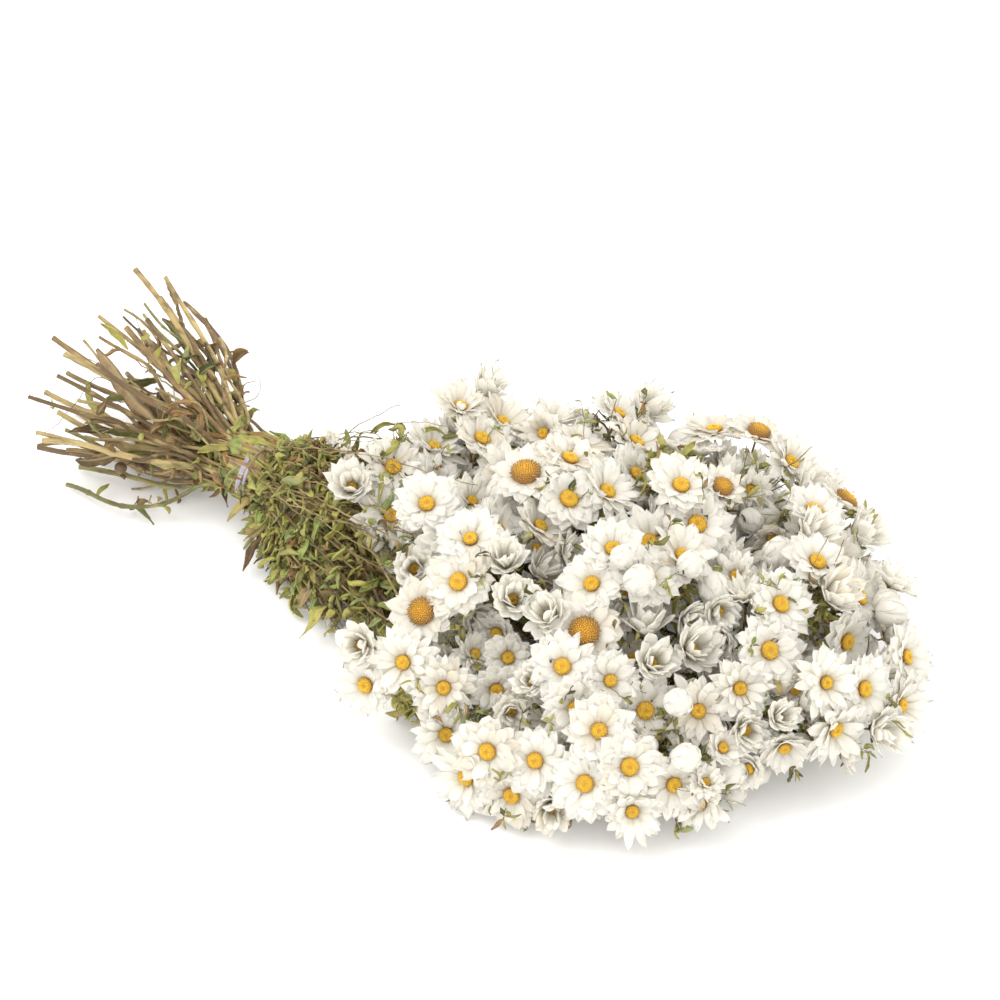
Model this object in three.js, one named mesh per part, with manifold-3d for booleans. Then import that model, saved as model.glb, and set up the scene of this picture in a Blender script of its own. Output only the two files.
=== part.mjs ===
// A bunch of dried paper daisies, held by an elastic band and lying on its side.
//
// Frame: millimetres, +Z up, the surface it lies on at z = 0. The bunch lies along X, with the
// cut ends of its stems towards -X and its flowers fanned out towards +X. It is modelled round
// the band at x = 0, and moved at the end so that the middle of its box stands over the origin.
//
// Nineteen pairs of stems run side by side through the band. Each pair carries one spray:
//   leafy_stem_NN    the pair of stems with the leaves that grow from them, one body
//   disc_stalks_NN   the thin stalks that branch from the stem's tip, with the golden discs
//   petals_NN        the papery petals round those discs, which touch and hold together
import * as THREE from "three";
import { mergeVertices } from "three/addons/utils/BufferGeometryUtils.js";
import Module from "manifold-3d";

const wasm = await Module();
wasm.setup();

// ---- Driving dimensions -------------------------------------------------------------------

const CLEARANCE = 0.3; // between neighbouring solids
const TIE_HEIGHT = 34; // the bundle's middle in the band, above the surface
const COLUMN_PITCH = 7; // between pairs of stems, across the bundle in the band
const ROW_PITCH = 4.6; // between rows of pairs in the band

const STEM_RADIUS = 1.9;
const STEM_SIDES = 3;
const PAIR_OFFSET = 1.4; // from the middle of a pair to each of its two stems, in the band
const PRESSED = 2; // how far petals that touch the surface would reach below it, at most
const GROUND_STEM = 0.6; // height of a stem's middle where it lies on the surface, cut flat there
const LOWEST_STEM = -0.5; // the lowest that a stem reaches before it is cut flat there
const CUT_REACH = 122; // from the band to the cut ends
const CUT_SHARES = [0.72, 1.12]; // of that reach, for the shortest and the longest stem
const CUT_FAN = 4.6; // how much wider the pairs stand at the cut ends than in the band
const CUT_SPREAD = 6; // from the middle of a pair to each cut end, at most
const CUT_SHIFT = 26; // how far towards +Y the cut ends all stand, because the bunch is bent there
const CUT_SCATTER = { across: 4, up: 5 }; // how far a cut end lies off its place, at most
const BEND_SHARE = 0.46; // of the way from the band's height and line, half way to the cut end
const LYING_BEND_SHARE = 0.78; // the same in height, for a stem whose end lies on the surface
const BEND_SCATTER = { across: 3, up: 2 };
const SWAY = 0.25; // more for each further attempt at leading a stem clear of the others
const STRAIGHT = 10; // the stems run straight for this far each side of the band
const EARLY_SHARES = [0.45, 0.34, 0.4]; // of the way to the late bend, at the early one
const LATE_SHARE = 0.16; // of the spray's reach, between a stem's late bend and its tip
const EARLY_SWAY = 2; // beside that of a cut end
const LATE_SWAY = 3;
const TIP_GAP = 1.2 * CLEARANCE; // between a stem's tip and the knuckle of its spray
const BESIDE_SHIFT = -7; // across, from the carrying stem to the end of the one beside it
const BESIDE_SCATTER = 5; // up and down there

const HUB_RADIUS = 2.2; // the knuckle where a stem's tip branches into stalks
const STALK_RADIUS = 0.9;
const STALK_SIDES = 3;
const FIRST_STALK = 34; // from the knuckle to the first flower
const ELBOW_BACK = 0.5; // of a stalk's reach, from the flower straight back to its elbow
const ELBOW_PULL = 0.15; // of the way from there to the knuckle
const DISC_SHARE = 0.33; // a disc's radius beside its flower's
const CROWN_SHARE = 0.64; // radius of a disc's crown beside the disc's own
const CROWN_HEIGHT = 0.34; // its height beside the disc's radius
const DIMPLE_HEIGHT = 0.26; // the same for the middle of the crown, which is sunk

const PETALS = 7; // in a flower's star
const DISC_SIDES = 5;
const SMALL_FLOWER = 12.5; // radius to the petal tips
const LARGE_FLOWER = 19;
const FLAT_CUP = 0.2; // height of a large flower's tips beside its radius
const DEEP_CUP = 0.62; // the same for a small one, which has not opened yet
const NOTCH = 0.72; // radius between two petals beside that of their tips
const NOTCH_HEIGHT = 0.45; // the same for the height
const TIP_SCATTER = 0.07; // of its radius, that a petal's tip lies in or out
const TIP_LIFT = 0.25; // of its height, that it lies up or down
const PETAL_ROOT = 2.6; // radius of the ring that the petals form round the stalk
const ROOT_THICKNESS = 2.2;
const DISC_FLOOR = ROOT_THICKNESS / 2 + CLEARANCE + 0.3; // from a flower's heart to its disc

const FIRST_LEAN = 0.1; // of a spray's first flower, off the way that the spray faces
const LEAN_STEP = 0.02; // more for each further attempt
const FLOWER_TILT = [6, 34]; // degrees between two flowers whose petals touch
const FLOWER_PITCH = [0.66, 0.8]; // their distance beside the sum of their radii
const FLOWER_DROP = 0.5; // how far the second sinks, beside its full drop at that tilt
const FLOWER_SCATTER = 1.5; // how far it lies off that height, at most
const FACING_PULL = 0.3; // how far it turns back to the way that the spray faces

const LEAF_LENGTH = [13, 24];
const LEAF_WIDTH_SHARE = 0.36;
const LEAF_THICKNESS = 0.9;
const LEAF_WAVE = 0.16; // of its width, that its two edges rise and fall
const LEAF_DROOP = 0.22; // of its length, that its tip hangs
const LEAF_LEAN = [0.42, 0.62]; // from along the stem to square away from it
const LEAF_FOOT = [-1.4, 0, -0.6]; // where it starts, inside its stem
const LEAF_STEP = 15.5; // along a stem, where the leaves are dense
const LEAFLESS = 14; // no leaf grows this near the middle of the band
const LEAFY_REACH = 120; // from the band to where the leaves thin out
const SPARSE_LEAF = 5; // one leaf in so many grows where they are sparse
const LEAF_TURN = 137.5; // degrees round the stem from one leaf to the next

const BAND_THICKNESS = 1.3;
const BAND_TURN_WIDTH = 2.2;
const BAND_TURNS = 3;
const BAND_SEGMENTS = 16;
const BAND_ROUNDING = 1.9; // how far it bows up over the flat top row of stems

// The stem pairs in each row of the band, from the top row down.
const BAND_ROWS = [3, 4, 5, 4, 3];

// One spray for each pair, in the order of the rows and across each row from -Y to +Y. Its
// flowers stand round a point that is out from the band, at an angle fan from the X axis seen from
// above, and at a height above the surface. They face turn degrees from the X axis, seen from
// above, and rise degrees above the horizontal. The last two sprays are the bunch's underside.
const SPRAYS = [
  { out: 136, fan: -20, height: 60, turn: -60, rise: 50, flowers: 5 },
  { out: 78, fan: 6, height: 60, turn: -40, rise: 62, flowers: 5 },
  { out: 120, fan: 22, height: 66, turn: 20, rise: 66, flowers: 5 },

  { out: 203, fan: -31, height: 44, turn: -72, rise: 38, flowers: 5 },
  { out: 198, fan: -17, height: 76, turn: -50, rise: 62, flowers: 5 },
  { out: 180, fan: 4, height: 84, turn: -20, rise: 72, flowers: 5 },
  { out: 200, fan: 23, height: 70, turn: 35, rise: 60, flowers: 5 },

  { out: 268, fan: -29.5, height: 16.4, turn: -70, rise: 16, flowers: 5 },
  { out: 262, fan: -21, height: 56, turn: -55, rise: 44, flowers: 6 },
  { out: 254, fan: -6, height: 86, turn: -25, rise: 62, flowers: 6 },
  { out: 256, fan: 12, height: 84, turn: 0, rise: 65, flowers: 5 },
  { out: 282, fan: 25, height: 57, turn: 50, rise: 40, flowers: 5 },

  { out: 320, fan: -18.5, height: 32, turn: -45, rise: 28, flowers: 5 },
  { out: 318, fan: -8, height: 60, turn: -32, rise: 42, flowers: 5 },
  { out: 326, fan: 3, height: 74, turn: -10, rise: 50, flowers: 6 },
  { out: 324, fan: 15.5, height: 54, turn: 25, rise: 38, flowers: 5 },

  { out: 212, fan: -12, height: 14, turn: -30, rise: -8, flowers: 3 },
  { out: 376, fan: -3, height: 38, turn: -10, rise: 24, flowers: 6 },
  { out: 258, fan: 12, height: 10, turn: 20, rise: -8, flowers: 3 },
];

const MATERIALS = {
  stem: new THREE.MeshStandardMaterial({ color: 0x7d7a3c, roughness: 0.85, metalness: 0 }),
  disc: new THREE.MeshStandardMaterial({ color: 0xe0a520, roughness: 0.9, metalness: 0 }),
  petal: new THREE.MeshStandardMaterial({ color: 0xf6f4ee, roughness: 0.7, metalness: 0 }),
  band: new THREE.MeshStandardMaterial({ color: 0x8f88a0, roughness: 0.6, metalness: 0 }),
};
for (const material of Object.values(MATERIALS)) material.flatShading = true;

// ---- Small helpers ------------------------------------------------------------------------

const UP = new THREE.Vector3(0, 0, 1);
const radians = THREE.MathUtils.degToRad;
const vector = (x, y, z) => new THREE.Vector3(x, y, z);
const mix = THREE.MathUtils.lerp;

// A repeatable number from 0 to 1 for plant i and its feature k.
function scatter(i, k) {
  const s = Math.sin(i * 12.9898 + k * 78.233) * 43758.5453;
  return s - Math.floor(s);
}

// The same, from -1 to 1.
const wobble = (i, k) => 2 * scatter(i, k) - 1;

// A closed geometry as a manifold-3d solid.
function solidOf(geometry) {
  const bare = geometry.clone();
  bare.deleteAttribute("normal");
  bare.deleteAttribute("uv");
  const merged = mergeVertices(bare, 1e-4);
  return new wasm.Manifold(
    new wasm.Mesh({
      numProp: 3,
      vertProperties: merged.attributes.position.array,
      triVerts: new Uint32Array(merged.index.array),
    }),
  );
}

// The triangles between two rings of points that both run anticlockwise round the way they are
// joined. The rings may differ in number of points, and either may be a single point.
function bridge(first, firstCount, second, secondCount) {
  const triangles = [];
  let i = 0;
  let j = 0;
  while (i < firstCount || j < secondCount) {
    const a = first + (i % firstCount);
    const b = second + (j % secondCount);
    if (firstCount === 1 || (secondCount > 1 && (i + 0.5) / firstCount > (j + 0.5) / secondCount)) {
      j += 1;
      triangles.push(a, second + (j % secondCount), b);
    } else {
      i += 1;
      triangles.push(a, first + (i % firstCount), b);
    }
    if (firstCount === 1) i = j;
    if (secondCount === 1) j = i;
  }
  return triangles;
}

// A closed skin over rings of points. It ends in the first and last ring, or, where it is round,
// runs from the last one back to the first.
function loft(rings, round = false) {
  const starts = rings.map((_, r) => rings.slice(0, r).reduce((sum, ring) => sum + ring.length, 0));
  const triangles = [];
  rings.forEach((ring, r) => {
    const next = (r + 1) % rings.length;
    if (next === 0 && !round) return;
    triangles.push(...bridge(starts[r], ring.length, starts[next], rings[next].length));
  });
  const last = rings.length - 1;
  for (let k = 1; !round && k + 1 < rings[0].length; k++) triangles.push(0, k + 1, k);
  for (let k = 1; !round && k + 1 < rings[last].length; k++) {
    triangles.push(starts[last], starts[last] + k, starts[last] + k + 1);
  }
  return new THREE.BufferGeometry()
    .setAttribute("position", new THREE.Float32BufferAttribute(rings.flat(2), 3))
    .setIndex(triangles);
}

// A ring of points round the Z axis.
function ringOf(count, radius, z) {
  return Array.from({ length: count }, (_, k) => {
    const angle = (2 * Math.PI * k) / count;
    return [radius * Math.cos(angle), radius * Math.sin(angle), z];
  });
}

// A rod of few sides through points, which run mostly along X. With three sides it has an edge
// on top and a flat below.
function rod(points, radius, sides) {
  const last = points.length - 1;
  const rings = points.map((point, k) => {
    const along = points[Math.min(k + 1, last)].clone().sub(points[Math.max(k - 1, 0)]).normalize();
    const across = UP.clone().cross(along).normalize();
    const upward = along.clone().cross(across);
    return ringOf(sides, radius, 0).map(([a, b]) =>
      point.clone().addScaledVector(upward, a).addScaledVector(across, -b).toArray(),
    );
  });
  return loft(rings);
}

// A matrix that puts a shape's origin at a point, its Z along a direction and turns it about that.
function placement(point, direction, turn) {
  const upright = new THREE.Quaternion().setFromUnitVectors(UP, direction);
  const spin = new THREE.Quaternion().setFromAxisAngle(UP, turn);
  return new THREE.Matrix4().compose(point, upright.multiply(spin), vector(1, 1, 1));
}

// ---- The stems ----------------------------------------------------------------------------

// Where each pair of stems lies in the band: its row, and how far it is across and up.
function bandCells() {
  const cells = [];
  BAND_ROWS.forEach((count, row) => {
    for (let column = 0; column < count; column++) {
      cells.push({
        across: (column - (count - 1) / 2) * COLUMN_PITCH,
        up: ((BAND_ROWS.length - 1) / 2 - row) * ROW_PITCH,
      });
    }
  });
  return cells;
}

const CELLS = bandCells();

// Which way the flowers of spray i face.
function facingOf(i) {
  const { turn, rise } = SPRAYS[i];
  return vector(1, 0, 0).applyAxisAngle(vector(0, -1, 0), radians(rise)).applyAxisAngle(UP, radians(turn));
}

// The knuckle that the stalks of spray i branch from.
function hubOf(i) {
  const { out, fan, height } = SPRAYS[i];
  const heart = vector(out, 0, height).applyAxisAngle(UP, radians(fan));
  return heart.addScaledVector(facingOf(i), -FIRST_STALK);
}

// The points that one of the two stems of pair i runs through. side is 1 for the stem that
// carries the spray, and -1 for the one beside it, which ends among the leaves. Each further
// attempt bends the stem another way between its fixed points.
function stemPoints(i, side, attempt) {
  const { across, up } = CELLS[i];
  const k = 10 * side;
  const sway = (feature) => wobble(i, 100 * side + 3 * attempt + feature) * attempt * SWAY;
  const y = across + side * PAIR_OFFSET;
  const z = TIE_HEIGHT + up;
  const cut = vector(
    -CUT_REACH * mix(...CUT_SHARES, scatter(i, k + 1)),
    CUT_SHIFT + across * CUT_FAN + side * CUT_SPREAD + wobble(i, k + 2) * CUT_SCATTER.across + sway(10),
    TIE_HEIGHT + up * CUT_FAN + wobble(i, k + 3) * CUT_SCATTER.up + sway(11),
  );
  const isLying = cut.z <= GROUND_STEM;
  if (isLying) cut.z = GROUND_STEM;
  const bend = vector(
    cut.x / 2,
    mix(y, cut.y, BEND_SHARE) + wobble(i, k + 4) * BEND_SCATTER.across + sway(12),
    mix(z, cut.z, isLying ? LYING_BEND_SHARE : BEND_SHARE) + wobble(i, k + 5) * BEND_SCATTER.up + sway(13),
  );
  const hub = hubOf(i);
  const approach = facingOf(i).lerp(vector(1, 0, 0), 0.5).normalize();
  const tip = hub.clone().addScaledVector(approach, -(HUB_RADIUS + TIP_GAP));
  const before = tip.clone().addScaledVector(approach, -LATE_SHARE * SPRAYS[i].out);
  const [out, aside, rise] = EARLY_SHARES;
  const early = vector(mix(STRAIGHT, before.x, out), mix(y, before.y, aside), mix(z, before.z, rise));
  early.add(vector(0, sway(14), sway(15)).multiplyScalar(EARLY_SWAY));
  before.add(vector(0, sway(16), sway(17)).multiplyScalar(LATE_SWAY));
  const knots = [cut, bend, vector(-STRAIGHT, y, z), vector(STRAIGHT, y, z), early, before, tip];
  if (side < 0) {
    knots.length = 5;
    knots[4].lerp(before, 0.5).add(vector(0, BESIDE_SHIFT, BESIDE_SCATTER * wobble(i, 6)));
  }
  const curve = new THREE.CatmullRomCurve3(knots, false, "centripetal");
  const points = knots.slice(0, 3);
  for (let n = 6; n <= 2 * (knots.length - 1); n++) points.push(curve.getPoint(n / (2 * knots.length - 2)));
  return points;
}

// ---- Leaves -------------------------------------------------------------------------------

// A leaf along +X with its upper side to +Z: a thin blade, thickest along its rib, whose two
// edges rise and fall by different amounts, as they do on a dried leaf.
function leaf(length, width, wave) {
  const half = width / 2;
  const droop = -LEAF_DROOP * length;
  const thin = LEAF_THICKNESS;
  return loft([
    [LEAF_FOOT],
    [[0.3 * length, half * 0.9, -wave], [0.33 * length, -half * 0.9, wave], [0.3 * length, 0, -thin]],
    [
      [0.72 * length, half, wave + droop / 2],
      [0.66 * length, -half, -wave + droop / 2],
      [0.68 * length, 0, -thin + droop / 2],
    ],
    [[length, 0, droop]],
  ]);
}

// Leaf n of a stem, at a share of its length.
function leafOn(line, share, i, n) {
  const point = line.getPointAt(share);
  const along = line.getTangentAt(share);
  const across = vector(0, 1, 0).cross(along).normalize();
  const outward = across.applyAxisAngle(along, radians(LEAF_TURN * n + 360 * scatter(i, 7)));
  const direction = along.clone().lerp(outward, mix(...LEAF_LEAN, scatter(i, 20 + n))).normalize();
  const upper = outward.clone().addScaledVector(direction, -outward.dot(direction)).normalize();
  const side = upper.clone().cross(direction);
  const length = mix(...LEAF_LENGTH, scatter(i, 40 + n));
  const width = length * LEAF_WIDTH_SHARE;
  const turned = new THREE.Matrix4().makeBasis(direction, side, upper).setPosition(point);
  return solidOf(leaf(length, width, LEAF_WAVE * width).applyMatrix4(turned));
}

// ---- Flowers ------------------------------------------------------------------------------

// How far open a flower is: small ones still stand half shut.
function cupOf(radius) {
  const share = (radius - SMALL_FLOWER) / (LARGE_FLOWER - SMALL_FLOWER);
  return mix(DEEP_CUP, FLAT_CUP, share);
}

// The petals of one flower, facing +Z with its heart at the origin: a star that stands up in a
// bowl, thick at the ring round the stalk and thin at the tips.
function petalStar(radius, seed) {
  const cup = cupOf(radius) * radius;
  const spread = Math.sqrt(1 - 0.5 * cupOf(radius) ** 2) * radius;
  const rim = ringOf(2 * PETALS, spread, cup).map(([x, y, z], k) => {
    const isTip = k % 2 === 0;
    const share = isTip ? 1 + TIP_SCATTER * wobble(seed, k) : NOTCH;
    return [x * share, y * share, z * (isTip ? 1 + TIP_LIFT * wobble(seed, k + 50) : NOTCH_HEIGHT)];
  });
  const half = ROOT_THICKNESS / 2;
  return loft([rim, ringOf(3, PETAL_ROOT, half), ringOf(3, PETAL_ROOT, -half)], true);
}

// A flower's stalk and its golden disc as one skin: the stalk runs from the knuckle to the back
// of the flower, which it meets square, and widens there into a low dome.
function stalkAndDisc(hub, centre, matrix, radius) {
  const normal = vector(0, 0, 1).transformDirection(matrix);
  const reach = hub.distanceTo(centre);
  const elbow = centre.clone().addScaledVector(normal, -ELBOW_BACK * reach).lerp(hub, ELBOW_PULL);
  const r = radius * DISC_SHARE;
  const edge = DISC_FLOOR + cupOf(radius) * r;
  const local = [
    ringOf(STALK_SIDES, STALK_RADIUS, DISC_FLOOR - 0.2),
    ringOf(DISC_SIDES, r, edge),
    ringOf(DISC_SIDES, CROWN_SHARE * r, edge + CROWN_HEIGHT * r),
    [[0, 0, edge + DIMPLE_HEIGHT * r]],
  ].map((ring) => ring.map((point) => vector(...point).applyMatrix4(matrix).toArray()));
  const back = ringOf(STALK_SIDES, STALK_RADIUS, 0);
  const around = (point) => {
    const shift = new THREE.Matrix4().extractRotation(matrix).setPosition(point);
    return back.map((corner) => vector(...corner).applyMatrix4(shift).toArray());
  };
  return loft([around(hub), around(elbow), ...local]);
}

// ---- Putting the bunch together -----------------------------------------------------------

const LEAST_OVERLAP = 0.25; // mm3 of two flowers' petals where they touch
const MOST_OVERLAP = 2;
const OWN_CLEARANCE = 0.8 * CLEARANCE; // between a spray's petals and its stalks
const MOST_TRIES = 80; // for a stem or a flower, before it is left out
const bodies = new Map(); // node name to solid

function near(boxA, boxB, reach) {
  return [0, 1, 2].every((k) => boxA.min[k] - reach < boxB.max[k] && boxB.min[k] - reach < boxA.max[k]);
}

// Whether a solid keeps its clearance from every body, apart from the named ones.
function isClear(solid, own = []) {
  const box = solid.boundingBox();
  for (const [name, body] of bodies) {
    if (own.includes(name) || !near(box, body.boundingBox(), CLEARANCE)) continue;
    if (solid.minGap(body, 2 * CLEARANCE) < CLEARANCE) return false;
  }
  return true;
}

const number = (i) => String(i + 1).padStart(2, "0");
const stemName = (i) => `leafy_stem_${number(i)}`;
const stalksName = (i) => `disc_stalks_${number(i)}`;
const petalsName = (i) => `petals_${number(i)}`;

// The band's turns lie side by side as ribs round the bundle.
function elasticBand() {
  const across = ((Math.max(...BAND_ROWS) - 1) / 2) * COLUMN_PITCH + PAIR_OFFSET + STEM_RADIUS;
  const up = ((BAND_ROWS.length - 1) / 2) * ROW_PITCH + STEM_RADIUS + BAND_ROUNDING;
  const inner = up + CLEARANCE;
  const width = BAND_TURNS * BAND_TURN_WIDTH;
  const profile = [new THREE.Vector2(inner, -width / 2)];
  for (let rib = 0; rib < BAND_TURNS; rib++) {
    const start = rib * BAND_TURN_WIDTH - width / 2;
    const groove = new THREE.Vector2(inner + BAND_THICKNESS / 2, start + BAND_TURN_WIDTH);
    profile.push(new THREE.Vector2(inner + BAND_THICKNESS, start + BAND_TURN_WIDTH / 2));
    if (rib + 1 < BAND_TURNS) profile.push(groove);
  }
  profile.push(new THREE.Vector2(inner, width / 2), profile[0].clone());
  const ring = new THREE.LatheGeometry(profile, BAND_SEGMENTS);
  return solidOf(ring.rotateZ(-Math.PI / 2).scale(1, across / up, 1).translate(0, 0, TIE_HEIGHT));
}

const stems = SPRAYS.map(() => []); // for each pair, its stems as points and a solid

// All the stems that carry sprays, and then those beside them, each bent clear of the rest.
function growStems() {
  for (const side of [1, -1]) {
    SPRAYS.forEach((_, i) => {
      const name = stemName(i);
      for (let attempt = 0; attempt < MOST_TRIES; attempt++) {
        const points = stemPoints(i, side, attempt);
        const solid = solidOf(rod(points, STEM_RADIUS, STEM_SIDES));
        if (solid.boundingBox().min[2] < LOWEST_STEM || !isClear(solid, [name])) continue;
        stems[i].push({ points, solid });
        bodies.set(name, bodies.has(name) ? bodies.get(name).add(solid) : solid);
        break;
      }
    });
  }
}

// The flowers of spray i: each is set beside an earlier one, so that their petals touch.
function growSpray(i) {
  const hub = hubOf(i);
  const facing = facingOf(i);
  const flowers = [];
  let stalks = solidOf(new THREE.OctahedronGeometry(HUB_RADIUS).translate(hub.x, hub.y, hub.z));
  let petals = null;
  for (let n = 0; n < SPRAYS[i].flowers; n++) {
    for (let attempt = 0; attempt < MOST_TRIES; attempt++) {
      const seed = 100 * n + attempt;
      const radius = mix(SMALL_FLOWER, LARGE_FLOWER, Math.sqrt(scatter(i, seed + 1)));
      const parent = flowers[Math.floor(scatter(i, seed + 2) * flowers.length)];
      const flower = parent
        ? nextFlower(parent, facing, radius, i, seed)
        : firstFlower(hub, facing, radius, i, seed);
      const star = solidOf(petalStar(radius, seed).applyMatrix4(flower.matrix));
      const holder = solidOf(stalkAndDisc(hub, flower.centre, flower.matrix, radius));
      if (star.boundingBox().min[2] < -PRESSED || holder.boundingBox().min[2] < CLEARANCE) continue;
      const overlap = petals ? star.intersect(petals).volume() : LEAST_OVERLAP;
      if (overlap < LEAST_OVERLAP || overlap > MOST_OVERLAP) continue;
      if (petals && holder.minGap(petals, 1) < CLEARANCE) continue;
      if (star.minGap(stalks.add(holder), 1) < OWN_CLEARANCE) continue;
      if (!isClear(star) || !isClear(holder)) continue;
      petals = petals ? petals.add(star) : star;
      stalks = stalks.add(holder);
      flowers.push(flower);
      break;
    }
  }
  bodies.set(petalsName(i), petals);
  bodies.set(stalksName(i), stalks);
}

function firstFlower(hub, facing, radius, i, seed) {
  const lean = vector(wobble(i, seed + 3), wobble(i, seed + 4), wobble(i, seed + 5));
  const normal = facing.clone().addScaledVector(lean, FIRST_LEAN + LEAN_STEP * seed).normalize();
  const centre = hub.clone().addScaledVector(normal, FIRST_STALK);
  return { centre, normal, radius, matrix: placement(centre, normal, 0) };
}

function nextFlower(parent, facing, radius, i, seed) {
  const round = 2 * Math.PI * scatter(i, seed + 6);
  const sideways = vector(Math.cos(round), Math.sin(round), 0);
  const away = sideways.transformDirection(placement(vector(0, 0, 0), parent.normal, 0));
  const tilt = radians(mix(...FLOWER_TILT, scatter(i, seed + 7)));
  const normal = parent.normal.clone().lerp(facing, FACING_PULL).normalize();
  normal.applyAxisAngle(parent.normal.clone().cross(away).normalize(), tilt).normalize();
  const apart = (parent.radius + radius) * mix(...FLOWER_PITCH, scatter(i, seed + 8));
  const drop = apart * Math.sin(tilt) * FLOWER_DROP - FLOWER_SCATTER * wobble(i, seed + 9);
  const centre = parent.centre.clone().addScaledVector(away, apart).addScaledVector(parent.normal, -drop);
  return { centre, normal, radius, matrix: placement(centre, normal, round) };
}

// Leaves along the stems: dense from the band to where the flowers begin, sparse elsewhere.
function growLeaves(i) {
  const blades = [];
  stems[i].forEach(({ points }, side) => {
    const beside = stems[i][1 - side]?.solid;
    const line = new THREE.CurvePath();
    points.slice(1).forEach((point, k) => line.add(new THREE.LineCurve3(points[k], point)));
    const count = Math.floor(line.getLength() / LEAF_STEP);
    for (let n = 1; n < count; n++) {
      const { x } = line.getPointAt(n / count);
      const isSparse = x < 0 || x > LEAFY_REACH;
      if (Math.abs(x) < LEAFLESS || (isSparse && (n + i) % SPARSE_LEAF > 0)) continue;
      const blade = leafOn(line, n / count, i + 40 * side, n);
      if (blade.boundingBox().min[2] < 0 || !isClear(blade, [stemName(i)])) continue;
      if ([beside, ...blades].some((other) => other && blade.minGap(other, 1) < CLEARANCE)) continue;
      blades.push(blade);
    }
  });
  bodies.set(stemName(i), wasm.Manifold.union([bodies.get(stemName(i)), ...blades]));
}

// The largest piece of a body once what lies below the surface is cut flat.
function laidDown(body) {
  const pieces = body.trimByPlane([0, 0, 1], 0).decompose();
  return pieces.reduce((best, piece) => (piece.volume() > best.volume() ? piece : best));
}

function materialOf(name) {
  if (name.startsWith("leafy_stem")) return MATERIALS.stem;
  if (name.startsWith("disc_stalks")) return MATERIALS.disc;
  return name.startsWith("petals") ? MATERIALS.petal : MATERIALS.band;
}

function meshOf(name, body) {
  const { vertProperties, triVerts } = body.getMesh();
  const geometry = new THREE.BufferGeometry()
    .setAttribute("position", new THREE.BufferAttribute(new Float32Array(vertProperties), 3))
    .setIndex(new THREE.BufferAttribute(new Uint32Array(triVerts), 1));
  const mesh = new THREE.Mesh(geometry, materialOf(name));
  mesh.name = name;
  return mesh;
}

bodies.set("elastic_band", elasticBand());
growStems();
SPRAYS.forEach((_, i) => growSpray(i));
SPRAYS.forEach((_, i) => growLeaves(i));

const bunch = new THREE.Group();
for (const [name, body] of bodies) bunch.add(meshOf(name, laidDown(body)));
const box = new THREE.Box3().setFromObject(bunch, true);
const middle = box.getCenter(vector(0, 0, 0));
bunch.position.set(-middle.x, -middle.y, 0);

export default bunch;
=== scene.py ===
import math
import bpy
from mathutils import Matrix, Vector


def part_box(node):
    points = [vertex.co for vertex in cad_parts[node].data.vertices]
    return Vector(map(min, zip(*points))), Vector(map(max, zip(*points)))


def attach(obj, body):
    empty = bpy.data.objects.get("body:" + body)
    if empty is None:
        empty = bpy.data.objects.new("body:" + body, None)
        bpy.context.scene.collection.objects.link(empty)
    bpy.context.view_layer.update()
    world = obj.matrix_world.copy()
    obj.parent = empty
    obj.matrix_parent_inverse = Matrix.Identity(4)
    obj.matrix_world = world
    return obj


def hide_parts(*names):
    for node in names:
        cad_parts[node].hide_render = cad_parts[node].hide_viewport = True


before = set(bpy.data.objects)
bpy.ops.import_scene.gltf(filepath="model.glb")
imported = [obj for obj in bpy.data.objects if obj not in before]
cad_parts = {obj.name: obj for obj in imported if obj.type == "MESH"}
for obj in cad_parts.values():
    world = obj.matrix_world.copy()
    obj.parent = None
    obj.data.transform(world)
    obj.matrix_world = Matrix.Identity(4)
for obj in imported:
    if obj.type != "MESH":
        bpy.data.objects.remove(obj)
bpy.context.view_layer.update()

from types import SimpleNamespace

import bpy
import numpy as np
from bpy.props import FloatProperty, FloatVectorProperty, IntProperty, PointerProperty
from mathutils import Vector

bl_info = {
    "name": "Bunch of dried daisies",
    "version": (1, 0, 0),
    "blender": (4, 5, 0),
    "location": "3D View > Sidebar > Daisies",
    "description": "Paper daisies, their stems, leaves and elastic band, and the stage they lie on",
    "category": "Object",
}

MM = 0.001
GOLDEN_ANGLE = math.radians(137.508)
LOWEST = 0.15  # millimetres that every petal, leaf and stem keeps above the surface
HIGHEST = 111.0  # and the height that leaves, sprigs and shut flowers stay under

# The seed of each group's random draws. Where every spray draws for itself, its number is added.
SEEDS = {
    "plants": 4200, "petals": 100, "discs": 300, "stalks": 500, "leaves": 700, "small flowers": 77,
    "loose stem lines": 911, "loose stems": 912, "shoots": 921, "single leaves": 931,
    "undergrowth": 941, "florets": 951,
}

# ---- The plan of the bunch, in millimetres, as its solids were laid out ----------------------

TIE_HEIGHT = 34
COLUMN_PITCH = 7.0
ROW_PITCH = 4.6
BAND_ROWS = (3, 4, 5, 4, 3)
STEM_RADIUS = 1.9
PAIR_OFFSET = 1.4
STRAIGHT = 10
GROUND_STEM = 0.6
CUT_REACH = 122
CUT_SHARES = (0.72, 1.12)
CUT_FAN = 4.6
CUT_SPREAD = 6
CUT_SHIFT = 26
CUT_SCATTER = (4, 5)  # across and up
BEND_SHARE = 0.46
LYING_BEND_SHARE = 0.78
BEND_SCATTER = (3, 2)
SWAY = 0.25
EARLY_SHARES = (0.45, 0.34, 0.4)
LATE_SHARE = 0.16
EARLY_SWAY = 2
LATE_SWAY = 3
BESIDE_SHIFT = -7
BESIDE_SCATTER = 5
HUB_GAP = 2.56  # from the knuckle's middle to the stem's tip
HUB_RADIUS = 2.2
FIRST_STALK = 34
ELBOW_BACK = 0.5
ELBOW_PULL = 0.15
DISC_SHARE = 0.33
DISC_SIDES = 5
DISC_SPOKE = 0.645  # from the dimple in a disc to the ring round it, beside the disc's radius
DISC_FLOOR = 1.7  # from the petals' heart to the foot of the disc
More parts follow.
